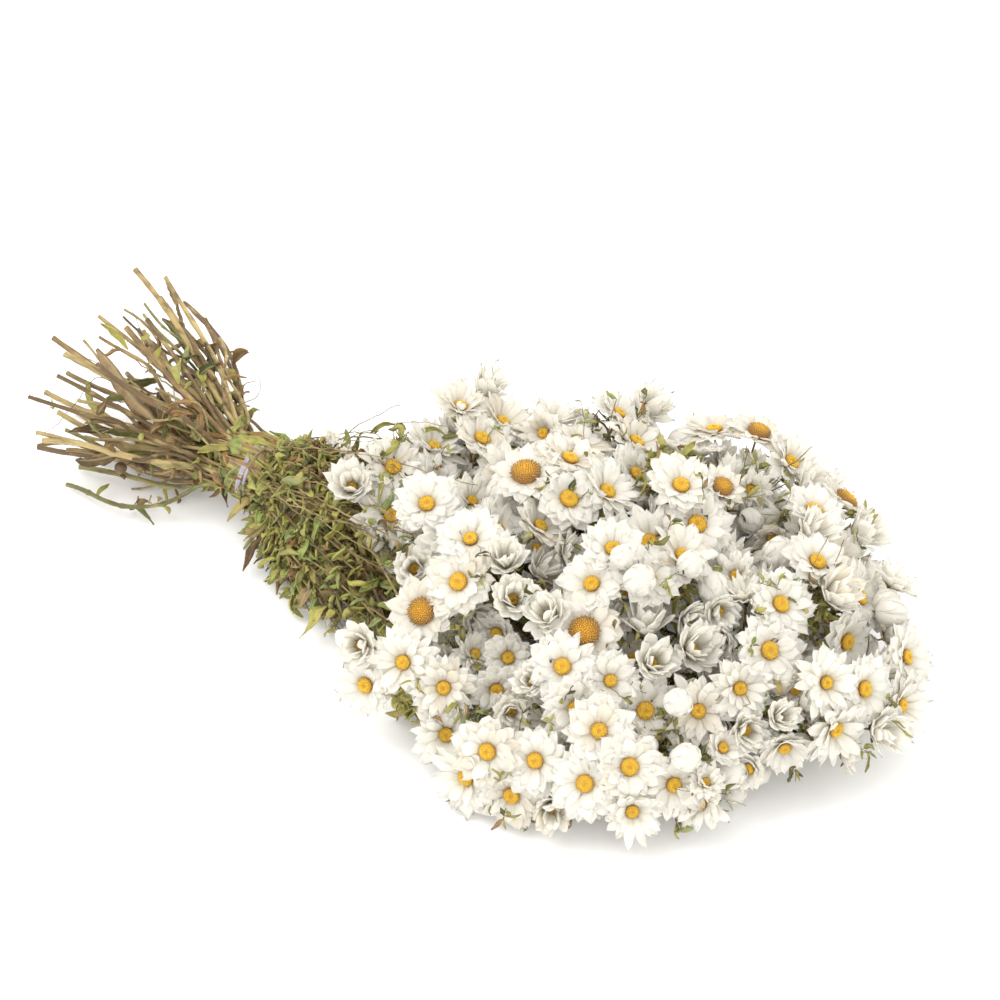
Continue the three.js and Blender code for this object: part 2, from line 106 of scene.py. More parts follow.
DIMPLE_HEIGHT = 0.26
DIMPLE_DEPTH = 0.08  # below the ring round it, beside the disc's radius
SHORTEST_SPOKE = 1.5
SAME_SPOKES = 1.02  # the longest spoke beside the shortest
FLAT_RIM = 0.05
SAME_DIMPLE = 0.02
SMALL_FLOWER = 12.5
LARGE_FLOWER = 19
FLAT_CUP = 0.2
DEEP_CUP = 0.62
ATTEMPTS = 80

# Each spray: out from the band, fan angle, height, and the way its flowers face (turn, rise).
SPRAYS = (
    (136, -20, 60, -60, 50), (78, 6, 60, -40, 62), (120, 22, 66, 20, 66),
    (203, -31, 44, -72, 38), (198, -17, 76, -50, 62), (180, 4, 84, -20, 72),
    (200, 23, 70, 35, 60),
    (268, -29.5, 16.4, -70, 16), (262, -21, 56, -55, 44), (254, -6, 86, -25, 62),
    (256, 12, 84, 0, 65), (282, 25, 57, 50, 40),
    (320, -18.5, 32, -45, 28), (318, -8, 60, -32, 42), (326, 3, 74, -10, 50),
    (324, 15.5, 54, 25, 38),
    (212, -12, 14, -30, -8), (376, -3, 38, -10, 24), (258, 12, 10, 20, -8),
)
BAND_MIDDLE = sum((Vector(corner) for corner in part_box("elastic_band")), Vector()) / 2
SHIFT = np.array(BAND_MIDDLE) / MM - (0, 0, TIE_HEIGHT)  # from the plan's place to the frame's


def random_for(group, i=0):
    return np.random.default_rng(SEEDS[group] + i)


def scatter(i, k):
    """A repeatable number from 0 to 1 for plant i and its feature k."""
    s = math.sin(i * 12.9898 + k * 78.233) * 43758.5453
    return s - math.floor(s)


def wobble(i, k):
    return 2 * scatter(i, k) - 1


def mix(a, b, share):
    return a + (b - a) * share


def unit(v):
    v = np.asarray(v, float)
    return v / np.linalg.norm(v)


def units(rows):
    return rows / np.linalg.norm(rows, axis=1)[:, None]


def joined(*parts):
    """Arrays of coordinates as one array of points, each spread to the same shape."""
    return np.stack(np.broadcast_arrays(*parts), axis=-1)


def angles_round(sides):
    return np.arange(sides) / sides * 2 * math.pi


def neighbours_round(sides):
    """The corners of a ring, and for each the next one round."""
    return np.arange(sides), (np.arange(sides) + 1) % sides


def smooth(low, high, x):
    t = np.clip((x - low) / (high - low), 0, 1)
    return t * t * (3 - 2 * t)


# ---- Reading the solids ----------------------------------------------------------------------


def corners_of(node):
    """A solid's corners in millimetres, merged where they meet, and each one's neighbours."""
    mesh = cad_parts[node].data
    places = np.empty(len(mesh.vertices) * 3)
    mesh.vertices.foreach_get("co", places)
    mesh.calc_loop_triangles()
    triangles = np.empty(len(mesh.loop_triangles) * 3, dtype=np.int64)
    mesh.loop_triangles.foreach_get("vertices", triangles)
    microns = np.round(places.reshape(-1, 3) * 1e6).astype(np.int64)
    keys, back = np.unique(microns, axis=0, return_inverse=True)
    beside = [set() for _ in keys]
    for a, b, c in back.reshape(-1)[triangles].reshape(-1, 3):
        beside[a] |= {b, c}
        beside[b] |= {a, c}
        beside[c] |= {a, b}
    return keys / 1000, beside


def cup_of(radius):
    """How far open a flower is: small ones still stand half shut."""
    share = (radius - SMALL_FLOWER) / (LARGE_FLOWER - SMALL_FLOWER)
    return mix(DEEP_CUP, FLAT_CUP, share)


def flowers_of(node):
    """Each flower of a spray as its heart, the way it faces and its radius, from its disc's dimple."""
    corners, beside = corners_of(node)
    flowers = []
    for at, ring in zip(corners, beside):
        if len(ring) != DISC_SIDES:
            continue
        rim = corners[list(ring)]
        spokes = np.linalg.norm(rim - at, axis=1)
        if spokes.max() > SAME_SPOKES * spokes.min() or spokes.min() < SHORTEST_SPOKE:
            continue
        middle = rim.mean(axis=0)
        facing = np.linalg.svd(rim - middle)[2][2]
        facing = facing if (middle - at) @ facing > 0 else -facing
        disc = spokes.mean() / DISC_SPOKE
        depth = (middle - at) @ facing / disc
        if abs((rim - middle) @ facing).max() > FLAT_RIM or abs(depth - DIMPLE_DEPTH) > SAME_DIMPLE:
            continue
        radius = disc / DISC_SHARE
        up = DISC_FLOOR + cup_of(radius) * disc + DIMPLE_HEIGHT * disc
        flowers.append((at - up * facing, facing, radius))
    return flowers


def facing_of(i):
    turn, rise = (math.radians(angle) for angle in SPRAYS[i][3:])
    return np.array((math.cos(rise) * math.cos(turn), math.cos(rise) * math.sin(turn), math.sin(rise)))


def hub_of(i):
    out, fan, height = SPRAYS[i][:3]
    angle = math.radians(fan)
    return np.array((out * math.cos(angle), out * math.sin(angle), height)) - facing_of(i) * FIRST_STALK


def spline(knots, share):
    """The point at a share of the way along a centripetal Catmull-Rom curve through the knots."""
    knots = [np.asarray(knot, float) for knot in knots]
    last = len(knots) - 1
    step = min(int(share * last), last - 1)
    t = share * last - step
    before = knots[step - 1] if step > 0 else 2 * knots[0] - knots[1]
    after = knots[step + 2] if step + 2 <= last else 2 * knots[last] - knots[last - 1]
    run = [before, knots[step], knots[step + 1], after]
    d0, d1, d2 = (max(np.linalg.norm(run[k + 1] - run[k]), 1e-6) ** 0.5 for k in range(3))
    start = (run[1] - run[0]) / d0 - (run[2] - run[0]) / (d0 + d1) + (run[2] - run[1]) / d1
    end = (run[2] - run[1]) / d1 - (run[3] - run[1]) / (d1 + d2) + (run[3] - run[2]) / d2
    start, end = start * d1, end * d1
    a, b = run[1], run[2]
    return a + start * t + (3 * (b - a) - 2 * start - end) * t**2 + (2 * (a - b) + start + end) * t**3


def cells():
    """Where each pair of stems lies in the band: how far across and up."""
    middle = (len(BAND_ROWS) - 1) / 2
    return [
        ((column - (count - 1) / 2) * COLUMN_PITCH, (middle - row) * ROW_PITCH)
        for row, count in enumerate(BAND_ROWS)
        for column in range(count)
    ]


def early_knot(y, z, late):
    """Where a stem at y and z in the band passes on its way to its late bend."""
    both = zip((STRAIGHT, y, z), late, EARLY_SHARES)
    return np.array([mix(start, end, share) for start, end, share in both])


def stem_knots(i, side, attempt):
    """The knots of one of the two stems of pair i, for one of the ways it may be led."""
    across, up = cells()[i]
    k = 10 * side
    y, z = across + side * PAIR_OFFSET, TIE_HEIGHT + up

    def sway(feature):
        return wobble(i, 100 * side + 3 * attempt + feature) * attempt * SWAY

    cut = np.array((
        -CUT_REACH * mix(*CUT_SHARES, scatter(i, k + 1)),
        CUT_SHIFT + across * CUT_FAN + side * CUT_SPREAD + wobble(i, k + 2) * CUT_SCATTER[0] + sway(10),
        max(GROUND_STEM, TIE_HEIGHT + up * CUT_FAN + wobble(i, k + 3) * CUT_SCATTER[1] + sway(11)),
    ))
    droop = BEND_SHARE if cut[2] > GROUND_STEM else LYING_BEND_SHARE
    bend = np.array((
        cut[0] * 0.5,
        mix(y, cut[1], BEND_SHARE) + wobble(i, k + 4) * BEND_SCATTER[0] + sway(12),
        mix(z, cut[2], droop) + wobble(i, k + 5) * BEND_SCATTER[1] + sway(13),
    ))
    approach = unit(mix(facing_of(i), np.array((1, 0, 0)), 0.5))
    tip = hub_of(i) - approach * HUB_GAP
    before = tip - approach * LATE_SHARE * SPRAYS[i][0]
    early = early_knot(y, z, before)
    early = early + EARLY_SWAY * np.array((0, sway(14), sway(15)))
    before = before + LATE_SWAY * np.array((0, sway(16), sway(17)))
    knots = [cut, bend, np.array((-STRAIGHT, y, z)), np.array((STRAIGHT, y, z)), early, before, tip]
    if side < 0:
        knots = knots[:5]
        knots[4] = mix(early, before, 0.5) + (0, BESIDE_SHIFT, BESIDE_SCATTER * wobble(i, 6))
    return knots


SAME_SIDE = 0.008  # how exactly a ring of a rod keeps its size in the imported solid
SAME_LINE = 0.3  # how near a rod's rings lie to the line that the plan gives it
STEM_STEP = 2.0  # between the places tried along a stem
LEAST_LEAF = 5  # from its stem to the tip of the shortest leaf


def rod_points(knots):
    """The points that a stem's solid rod runs through."""
    steps = 2 * (len(knots) - 1)
    return np.array(knots[:3] + [spline(knots, n / steps) for n in range(6, steps + 1)])


def rings_of(corners):
    """The middles of the three-cornered rings that a pair's rods are built from."""
    side = STEM_RADIUS * math.sqrt(3)
    apart = np.linalg.norm(corners[:, None] - corners[None], axis=2)
    fits = np.abs(apart - side) < SAME_SIDE
    middles = []
    for a in range(len(corners)):
        others = [b for b in np.nonzero(fits[a])[0] if b > a]
        for n, b in enumerate(others):
            middles += [corners[[a, b, c]].mean(axis=0) for c in others[n + 1 :] if fits[b, c]]
    return np.array(middles)


def stems_of(i, node):
    """The one or two stems of pair i, each as the points its rod runs through, found in its solid."""
    rings = rings_of(corners_of(node)[0]) - SHIFT
    stems = []
    for side in (1, -1):
        tries = []
        for attempt in range(ATTEMPTS):
            points = rod_points(stem_knots(i, side, attempt))
            gaps = np.linalg.norm(rings[:, None] - points[None], axis=2).min(axis=0)
            off_band = np.abs(points[:, 0]) > STRAIGHT + 1
            best = np.sort(gaps[off_band])[: off_band.sum() * 3 // 5]  # leaves hide some of the rings
            tries.append((best.mean(), attempt))
        gap, attempt = min(tries)
        if gap < SAME_LINE:
            stems.append(rod_points(stem_knots(i, side, attempt)) + SHIFT)
    if not stems:
        raise RuntimeError(f"{node} has no stem where the plan puts one")
    return stems


def blades_of(node, lines):
    """The leaves of a pair's solid: each as root, two points along its rib, tip, width and upper side."""
    corners, beside = corners_of(node)
    line = np.concatenate([dense(points, STEM_STEP) for points in lines])
    blades = []
    for v, ring in enumerate(beside):
        if len(ring) != 3 or np.linalg.norm(line - corners[v], axis=1).min() < LEAST_LEAF:
            continue
        outer = corners[list(ring)]
        inner_ids = set().union(*(beside[r] for r in ring)) - ring - {v}
        if len(inner_ids) < 3:
            continue
        spans = [np.linalg.norm(outer[a] - outer[b]) for a, b in ((0, 1), (1, 2), (2, 0))]
        widest = int(np.argmax(spans))
        edges = outer[[widest, (widest + 1) % 3]]
        rib = outer[(widest + 2) % 3]
        inner = corners[list(inner_ids)].mean(axis=0)
        second = edges.mean(axis=0)
        guess = inner - 0.82 * (second - inner)  # the leaf's rings are evenly spaced, its foot a little less
        root = line[np.argmin(np.linalg.norm(line - guess, axis=1))]
        blades.append((root, inner, second, corners[v], spans[widest], unit(second - rib)))
    return blades


def dense(points, step):
    """Points every so often along the smooth curve through a few points."""
    points = np.asarray(points, float)
    length = np.linalg.norm(np.diff(points, axis=0), axis=1).sum()
    count = max(int(length / step), 4)
    return np.array([spline(points, n / count) for n in range(count + 1)])


# ---- Building meshes -------------------------------------------------------------------------


class Skin:
    """Collects the faces of one piece. Each corner keeps three numbers for the material: how far
    along its petal, leaf or stem it is, how far across, and a number of that petal's own."""

    def __init__(self):
        self.places, self.quads, self.triangles, self.growth = [], [], [], []
        self.count = 0

    def add(self, places, growth, quads=(), triangles=()):
        for kept, faces in ((self.quads, quads), (self.triangles, triangles)):
            if len(faces):
                kept.append(np.asarray(faces, dtype=np.int64) + self.count)
        self.places.append(np.asarray(places, float).reshape(-1, 3))
        self.growth.append(np.asarray(growth, float).reshape(-1, 3))
        self.count += len(self.places[-1])

    def sheets(self, places, growth):
        """Open sheets from an array of sheets x rows x columns x 3."""
        sheets, rows, columns = places.shape[:3]
        start = np.arange(sheets)[:, None, None] * rows * columns
        corner = start + np.arange(rows - 1)[None, :, None] * columns + np.arange(columns - 1)
        quads = np.stack([corner, corner + 1, corner + columns + 1, corner + columns], axis=-1)
        self.add(places, growth, quads=quads.reshape(-1, 4))

    def tube(self, line, radii, sides, own, ribs=0, depth=0.0, round_it=False):
        """A closed tube along a line, with lengthwise ribs where asked for."""
        line = np.asarray(line, float)
        rings, frames = len(line), turned_frames(line, round_it)
        angle = angles_round(sides)
        wave = 1 + depth * np.cos(ribs * angle) if ribs else np.ones(sides)
        radii = np.broadcast_to(np.asarray(radii, float), rings)
        a = frames[:, 0, None] * np.cos(angle)[None, :, None]
        b = frames[:, 1, None] * np.sin(angle)[None, :, None]
        places = line[:, None] + (a + b) * (radii[:, None] * wave[None])[:, :, None]
        growth = joined(np.linspace(0, 1, rings)[:, None], angle / (2 * math.pi), own)
        ring = np.arange(rings if round_it else rings - 1)[:, None] * sides
        next_ring = (ring + sides) % (rings * sides)
        k, k_next = neighbours_round(sides)
        quads = np.stack([ring + k, ring + k_next, next_ring + k_next, next_ring + k], axis=-1)
        if round_it:
            self.add(places, growth, quads=quads.reshape(-1, 4))
            return
        ends = np.stack([line[0], line[-1]])
        middle = rings * sides
        first = np.stack([np.full(sides, middle), k_next, k], axis=-1)
        last = np.stack([np.full(sides, middle + 1), middle - sides + k, middle - sides + k_next], axis=-1)
        self.add(
            np.concatenate([places.reshape(-1, 3), ends]),
            np.concatenate([growth.reshape(-1, 3), [(0, 0.5, own), (1, 0.5, own)]]),
            quads=quads.reshape(-1, 4),
            triangles=np.concatenate([first, last]),
        )

    def piece(self, name, recipe, nodes=()):
        """The finished piece, in metres, in a recipe's material, standing for the named solids."""
        slot, sheet = FINISHES[recipe]
        thickness = getattr(sizes(), sheet) if sheet else 0.0
        mesh = bpy.data.meshes.new(name)
        places = np.concatenate(self.places)
        places[:, 2] = np.maximum(places[:, 2], LOWEST + thickness / MM / 2)
        places *= MM
        faces = [f for group in (self.quads, self.triangles) for f in group]
        loops = np.concatenate([f.reshape(-1) for f in faces])
        totals = np.concatenate([np.full(len(f), f.shape[1]) for f in faces])
        mesh.vertices.add(len(places))
        mesh.vertices.foreach_set("co", places.reshape(-1))
        mesh.loops.add(len(loops))
        mesh.loops.foreach_set("vertex_index", loops)
        mesh.polygons.add(len(totals))
        mesh.polygons.foreach_set("loop_start", np.concatenate([[0], np.cumsum(totals)[:-1]]))
        mesh.update(calc_edges=True)
        growth = mesh.attributes.new("growth", "FLOAT_VECTOR", "POINT")
        growth.data.foreach_set("vector", np.concatenate(self.growth).reshape(-1))
        mesh.validate()
        mesh.shade_smooth()
        piece = bpy.data.objects.new(name, mesh)
        bpy.context.collection.objects.link(piece)
        mesh.materials.append(bpy.data.materials.get(recipe.__name__) or recipe(colours()))
        if thickness:
            solidify = piece.modifiers.new("Thickness", "SOLIDIFY")
            solidify.thickness = thickness
            solidify.offset = 0
        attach(piece, "root")
        if nodes:
            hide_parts(*nodes)


def turned_frames(line, round_it=False):
    """Two directions square to the line at each of its points, which turn with it without twisting."""
    if round_it:
        along = np.roll(line, -1, axis=0) - np.roll(line, 1, axis=0)
    else:
        along = np.gradient(line, axis=0)
    along = units(along)
    first = np.cross((0, 1, 0) if abs(along[0][1]) < 0.9 else (1, 0, 0), along[0])
    frames = []
    for direction in along:
        first = unit(first - (first @ direction) * direction)
        frames.append((first, np.cross(direction, first)))
    return np.array(frames)


def basis_of(facing):
    """A matrix whose columns are two directions square to facing, and facing."""
    side = unit(np.cross(facing, (0, 0, 1)) if abs(facing[2]) < 0.95 else np.cross(facing, (0, 1, 0)))
    return np.stack([side, np.cross(facing, side), facing], axis=1)


# ---- Materials -------------------------------------------------------------------------------


class Recipe:
    """A material's nodes, written as short calls."""

    def __init__(self, name):
        self.material = bpy.data.materials.new(name)
        self.material.use_nodes = True
        self.nodes, self.links = self.material.node_tree.nodes, self.material.node_tree.links
        self.shader = self.nodes["Principled BSDF"]

    def node(self, kind, inputs=None, **settings):
        node = self.nodes.new(kind)
        for key, value in settings.items():
            setattr(node, key, value)
        for key, value in (inputs or {}).items():
            self.put(node.inputs[key], value)
        return node

    def put(self, socket, value):
        if isinstance(value, bpy.types.NodeSocket):
            self.links.new(value, socket)
        else:
            socket.default_value = value

    def growth(self):
        """How far along, how far across, and the petal's or stem's own number."""
        read = self.node("ShaderNodeAttribute", attribute_name="growth")
        return self.node("ShaderNodeSeparateXYZ", {0: read.outputs["Vector"]}).outputs

    def place(self, scale):
        """Positions on the object, stretched by scale."""
        coords = self.node("ShaderNodeTexCoord").outputs["Object"]
        return self.node("ShaderNodeMapping", {"Vector": coords, "Scale": scale}).outputs[0]

    def vector(self, x, y, z):
        return self.node("ShaderNodeCombineXYZ", {0: x, 1: y, 2: z}).outputs[0]

    def noise(self, vector, scale, detail=3.0, rough=0.55):
        inputs = {"Vector": vector, "Scale": scale, "Detail": detail, "Roughness": rough}
        return self.node("ShaderNodeTexNoise", inputs).outputs["Fac"]

    def ramp(self, value, *stops):
        """Colours or greys at places from 0 to 1."""
        node = self.node("ShaderNodeValToRGB", {"Fac": value})
        elements = node.color_ramp.elements
        while len(elements) < len(stops):
            elements.new(0.5)
        for element, (place, colour) in zip(elements, stops):
            element.position = place
            element.color = (*(colour if isinstance(colour, tuple) else (colour,) * 3), 1)
        return node.outputs["Color"]

    def sum(self, operation, a, b):
        return self.node("ShaderNodeMath", {0: a, 1: b}, operation=operation).outputs[0]

    def blend(self, share, a, b, kind="MIX"):
        node = self.node("ShaderNodeMix", data_type="RGBA", blend_type=kind)
        for socket, value in ((node.inputs[0], share), (node.inputs[6], a), (node.inputs[7], b)):
            self.put(socket, (*value, 1) if isinstance(value, tuple) else value)
        return node.outputs[2]

    def bump(self, height, distance, strength=1.0, below=None):
        inputs = {"Height": height, "Distance": distance, "Strength": strength}
        if below is not None:
            inputs["Normal"] = below
        return self.node("ShaderNodeBump", inputs).outputs["Normal"]

    def finish(self, colour, roughness, normal=None, **shine):
        self.put(self.shader.inputs["Base Color"], colour)
        self.put(self.shader.inputs["Roughness"], roughness)
        if normal is not None:
            self.put(self.shader.inputs["Normal"], normal)
        for key, value in shine.items():
            self.put(self.shader.inputs[key.replace("_", " ")], value)
        return self.material

    def translucent(self, share, colour, normal=None):
        """Lets light through from behind, as thin dry petals and leaves do."""
        inputs = {"Color": colour}
        if normal is not None:
            inputs["Normal"] = normal
        through = self.node("ShaderNodeBsdfTranslucent", inputs)
        both = self.node("ShaderNodeMixShader", {0: share, 1: self.shader.outputs[0], 2: through.outputs[0]})
        self.links.new(both.outputs[0], self.nodes["Material Output"].inputs["Surface"])


def papery_white_petal(colours):
    """Dry white petals: fine veins along them, cream at the foot, each a little different."""
    r = Recipe("papery_white_petal")
    along, across, own = r.growth()
    lengthwise = r.vector(r.sum("MULTIPLY", across, 11.0), r.sum("MULTIPLY", along, 1.6), own)
    veins = r.noise(lengthwise, 2.2, 2.0, 0.5)
    crinkle = r.noise(r.place((1, 1, 1)), 420.0, 3.0)
    between = r.ramp(veins, (0.3, 0.0), (0.72, 1.0))
    white = r.blend(between, colours.petal_shade, colours.petal_colour)
    foot = r.ramp(along, (0.05, 1.0), (0.42, 0.0))
    white = r.blend(r.sum("MULTIPLY", foot, 0.75), white, colours.petal_foot)
    tired = r.ramp(own, (0.62, 0.0), (1.0, 1.0))
    white = r.blend(r.sum("MULTIPLY", tired, 0.45), white, (0.80, 0.70, 0.53))
    normal = r.bump(veins, 0.00014, 0.7)
    normal = r.bump(crinkle, 0.00016, 0.4, normal)
    rough = r.ramp(crinkle, (0.2, 0.46), (0.8, 0.66))
    r.finish(white, rough, normal, Specular_IOR_Level=0.32, Sheen_Weight=0.12, Sheen_Roughness=0.5)
    warm = r.blend(0.5, white, colours.petal_glow)
    r.translucent(0.62, warm, normal)
    return r.material


def golden_disc(colours):
    """The granular heart of a flower: orange-brown in the dimple, golden round it, rust at the rim."""
    r = Recipe("golden_disc")
    out, up, own = r.growth()
    gold = r.ramp(out, (0.0, (0.60, 0.26, 0.015)), (0.24, (0.88, 0.48, 0.03)),
                  (0.46, colours.disc_colour), (0.80, (0.93, 0.62, 0.05)),
                  (0.92, (0.80, 0.43, 0.03)), (1.0, (0.45, 0.22, 0.02)))
    brown = r.ramp(out, (0.0, (0.80, 0.44, 0.04)), (0.5, (0.66, 0.37, 0.05)), (0.82, (0.42, 0.25, 0.07)),
                   (1.0, colours.old_disc_colour))
    ripe = r.ramp(own, (0.70, 0.0), (0.80, 1.0))
    colour = r.blend(ripe, gold, brown)
    grain = r.noise(r.place((1, 1, 1)), 900.0, 2.0)
    colour = r.blend(0.6, colour, r.ramp(grain, (0.3, 0.4), (0.7, 1.3)), "MULTIPLY")
    # Painted shade: the dome between the florets and the foot of each floret are darkened towards dark brown.
    colour = r.blend(r.ramp(up, (0.0, 0.8), (0.7, 0.0)), colour, (0.30, 0.11, 0.01))
    normal = r.bump(grain, 0.0003, 0.8)
    return r.finish(colour, r.ramp(grain, (0.2, 0.62), (0.8, 0.9)), normal, Specular_IOR_Level=0.25)


def straw_stem(colours):
    """Dried stems: ribbed straw that runs to brown and to olive, some greyer than others."""
    r = Recipe("straw_stem")
    along, around, own = r.growth()
    patches = r.noise(r.place((9, 28, 28)), 7.0, 4.0)
    colour = r.ramp(own, (0.0, colours.stem_dark), (0.30, (0.25, 0.15, 0.055)),
                    (0.55, colours.stem_colour), (0.80, (0.55, 0.41, 0.17)),
                    (0.90, (0.30, 0.29, 0.09)), (1.0, (0.20, 0.22, 0.06)))
    colour = r.blend(r.ramp(patches, (0.34, 0.85), (0.52, 0.0)), colour, colours.stem_dark)
    colour = r.blend(r.ramp(patches, (0.54, 0.0), (0.70, 0.8)), colour, (0.62, 0.46, 0.19))
    lengthwise = r.vector(r.sum("MULTIPLY", around, 30.0), r.sum("MULTIPLY", along, 6.0), own)
    streaks = r.noise(lengthwise, 1.4, 3.0)
    colour = r.blend(0.9, colour, r.ramp(streaks, (0.30, 0.32), (0.66, 1.25)), "MULTIPLY")
    fine = r.noise(r.place((60, 260, 260)), 4.0, 2.0)
    normal = r.bump(streaks, 0.0007, 1.0)
    normal = r.bump(fine, 0.0003, 0.7, normal)
    return r.finish(colour, r.ramp(streaks, (0.2, 0.42), (0.8, 0.72)), normal, Specular_IOR_Level=0.4)


def olive_leaf(colours):
    """Dried leaves: olive and grey-green with brown blotches, and a paler rib."""
    r = Recipe("olive_leaf")
    along, across, own = r.growth()
    green = r.ramp(own, (0.0, colours.leaf_dark), (0.22, colours.leaf_colour),
                   (0.42, (0.46, 0.42, 0.095)), (0.56, (0.29, 0.33, 0.13)), (0.66, colours.lime_leaf),
                   (0.74, (0.44, 0.39, 0.10)), (0.86, (0.34, 0.22, 0.11)), (0.93, (0.30, 0.15, 0.045)),
                   (1.0, (0.085, 0.06, 0.03)))
    blotch = r.noise(r.place((1, 1, 1)), 190.0, 3.0)
    colour = r.blend(r.ramp(blotch, (0.54, 0.0), (0.70, 0.7)), green, (0.24, 0.15, 0.05))
    colour = r.blend(0.8, colour, r.ramp(blotch, (0.28, 0.5), (0.6, 1.3)), "MULTIPLY")
    off_rib = r.sum("ABSOLUTE", r.sum("SUBTRACT", across, 0.5), 0.0)
    rib = r.ramp(off_rib, (0.0, 1.0), (0.12, 0.0))
    colour = r.blend(r.sum("MULTIPLY", rib, 0.55), colour, (0.46, 0.44, 0.22))
    aslant = r.vector(r.sum("ADD", along, r.sum("MULTIPLY", off_rib, -0.9)), 0.0, 0.0)
    waves = {"Vector": aslant, "Scale": 9.0, "Distortion": 2.0}
    ridges = r.node("ShaderNodeTexWave", waves).outputs["Fac"]
    normal = r.bump(ridges, 0.0003, 0.5)
    normal = r.bump(blotch, 0.0005, 0.7, normal)
    r.finish(colour, r.ramp(blotch, (0.2, 0.55), (0.8, 0.85)), normal, Specular_IOR_Level=0.3)
    r.translucent(0.16, colour, normal)
    return r.material


def lilac_rubber(colours):
    """The elastic band: matt lilac-grey rubber, rubbed paler in patches."""
    r = Recipe("lilac_rubber")
    dust = r.noise(r.place((1, 1, 1)), 350.0, 4.0)
    colour = r.blend(r.ramp(dust, (0.35, 0.0), (0.7, 1.0)), colours.band_colour, (0.44, 0.40, 0.50))
    lines = r.noise(r.place((700, 30, 30)), 3.0, 2.0)
    normal = r.bump(lines, 0.0002, 0.6)
    return r.finish(colour, r.ramp(dust, (0.3, 0.48), (0.7, 0.7)), normal, Specular_IOR_Level=0.45)


# Each recipe's slot, and which size gives its sheets their thickness.
FINISHES = {
    papery_white_petal: ("petal", "petal_thickness"),
    golden_disc: ("disc", None),
    straw_stem: ("stem", None),
    olive_leaf: ("stem", "leaf_thickness"),
    lilac_rubber: ("band", None),
}


# ---- The plants ------------------------------------------------------------------------------


class Bloom:
    """One flower: where its petals meet, the way it faces, its radius, and how far it has come."""

    def __init__(self, heart, facing, radius, kind):
        self.heart, self.facing, self.radius, self.kind = np.asarray(heart), unit(facing), radius, kind
        self.cup = SHUT_CUP if kind == "half shut" else cup_of(radius)


OPEN_SIDE = unit((0.37, -0.65, 0.67))  # up and to the front, where the flowers have found the light
RIPE_BLOOMS = {(2, 4), (4, 0), (5, 0), (9, 3), (10, 3), (11, 1), (15, 1)}  # spray and flower, from nought
SHAGGY_SPRAY = 1
SHAGGY_DRAW = 0.80  # a flower that draws more than this is shaggy
SHUT_DRAW = 0.56  # one that draws less than this and is smaller than SHUT_RADIUS is half shut
SHUT_RADIUS = 17
SHUT_HEIGHT = 1.3  # of a half shut flower, beside its radius
SHUT_CUP = 1.1
TURNED_AWAY = 0.3  # how little of its facing lies towards the light before a flower is brought round


class Plant:
    """One spray as read from its solids."""

    def __init__(self, i):
        self.i = i
        self.number = f"{i + 1:02d}"
        self.stems = stems_of(i, f"leafy_stem_{self.number}")
        self.blades = blades_of(f"leafy_stem_{self.number}", self.stems)
        self.hub = hub_of(i) + SHIFT
        self.rng = random_for("plants", i)
        flowers = flowers_of(f"disc_stalks_{self.number}")
        self.blooms = [self.bloom(n, *flower) for n, flower in enumerate(flowers)]

    def bloom(self, n, heart, facing, radius):
        """A flower of the solids: a few are overripe, and small ones may still be half shut. One
        that would turn its back to the light is brought round a little."""
        draw = self.rng.uniform()
        kind = "open"
        if (self.i, n) in RIPE_BLOOMS:
            kind = "ripe"
        elif radius < SHUT_RADIUS and draw < SHUT_DRAW and heart[2] + SHUT_HEIGHT * radius < HIGHEST:
            kind = "half shut"
        elif draw > SHAGGY_DRAW or self.i == SHAGGY_SPRAY:
            kind = "shaggy"
        if facing @ OPEN_SIDE < TURNED_AWAY:
            facing = facing + 0.55 * OPEN_SIDE
        return Bloom(heart, facing, radius, kind)


PLANTS = [Plant(i) for i in range(len(SPRAYS))]
FILL_STEP = 12.0  # between the places tried for the smaller flowers that close the mound
FILL_LAYERS = 4
FILL_KINDS = ("open", "half shut", "open", "half shut", "half shut", "half shut", "shaggy", "shaggy", "bud")
FILL_START = 84  # how far out from the band the first smaller flowers stand
FILL_REACH = 54  # and how far they may be from a flower of the solids
FILL_ROUND = 80  # flowers of the solids that are nearer than this stand round a smaller one
WIDEST_GAP = math.radians(196)  # and leave no wider gap than this on any side of it
FILL_BLEND = 26  # how far a flower of the solids lends its height and its facing
FILL_CLOSE = 0.58  # how near two flowers may be, beside the sum of their radii
KNUCKLE_BACK = 25  # from a flower to where its stalk should come from
HANGING = 25  # buds lower than this hang down
GAP_BACK = 12  # how far behind its middle a gap keeps flowers away
# Gaps in the mound, where leaves and dry stalks show: place in the plan and radius.
GAPS = (
    ((156, -7, 40), 15), ((212, 63, 70), 17), ((256, -4, 66), 14), ((313, 20, 52), 14), ((283, -69, 38), 12),
    ((161, -94, 26), 10), ((187, 26, 62), 9),
)
# More small flowers in the low front of the mound: place in the plan, radius and kind.
FRONT_BLOOMS = (
    ((150, -66, 46), 13, "shaggy"), ((166, -58, 52), 13, "half shut"), ((182, -60, 48), 14, "open"),
    ((163, -82, 34), 12, "half shut"), ((176, -76, 42), 13, "shaggy"), ((194, -72, 46), 13, "open"),
    ((180, -92, 34), 12, "half shut"), ((196, -88, 38), 14, "open"), ((210, -82, 42), 12, "shaggy"),
    ((205, -98, 30), 12, "half shut"), ((168, -98, 24), 11, "shaggy"), ((188, -76, 26), 13, "shaggy"),
    ((142, -80, 30), 11, "half shut"), ((214, -66, 34), 13, "half shut"),
)
TINY_BUD = 4  # buds with a smaller radius than this are the ones that hang near the band
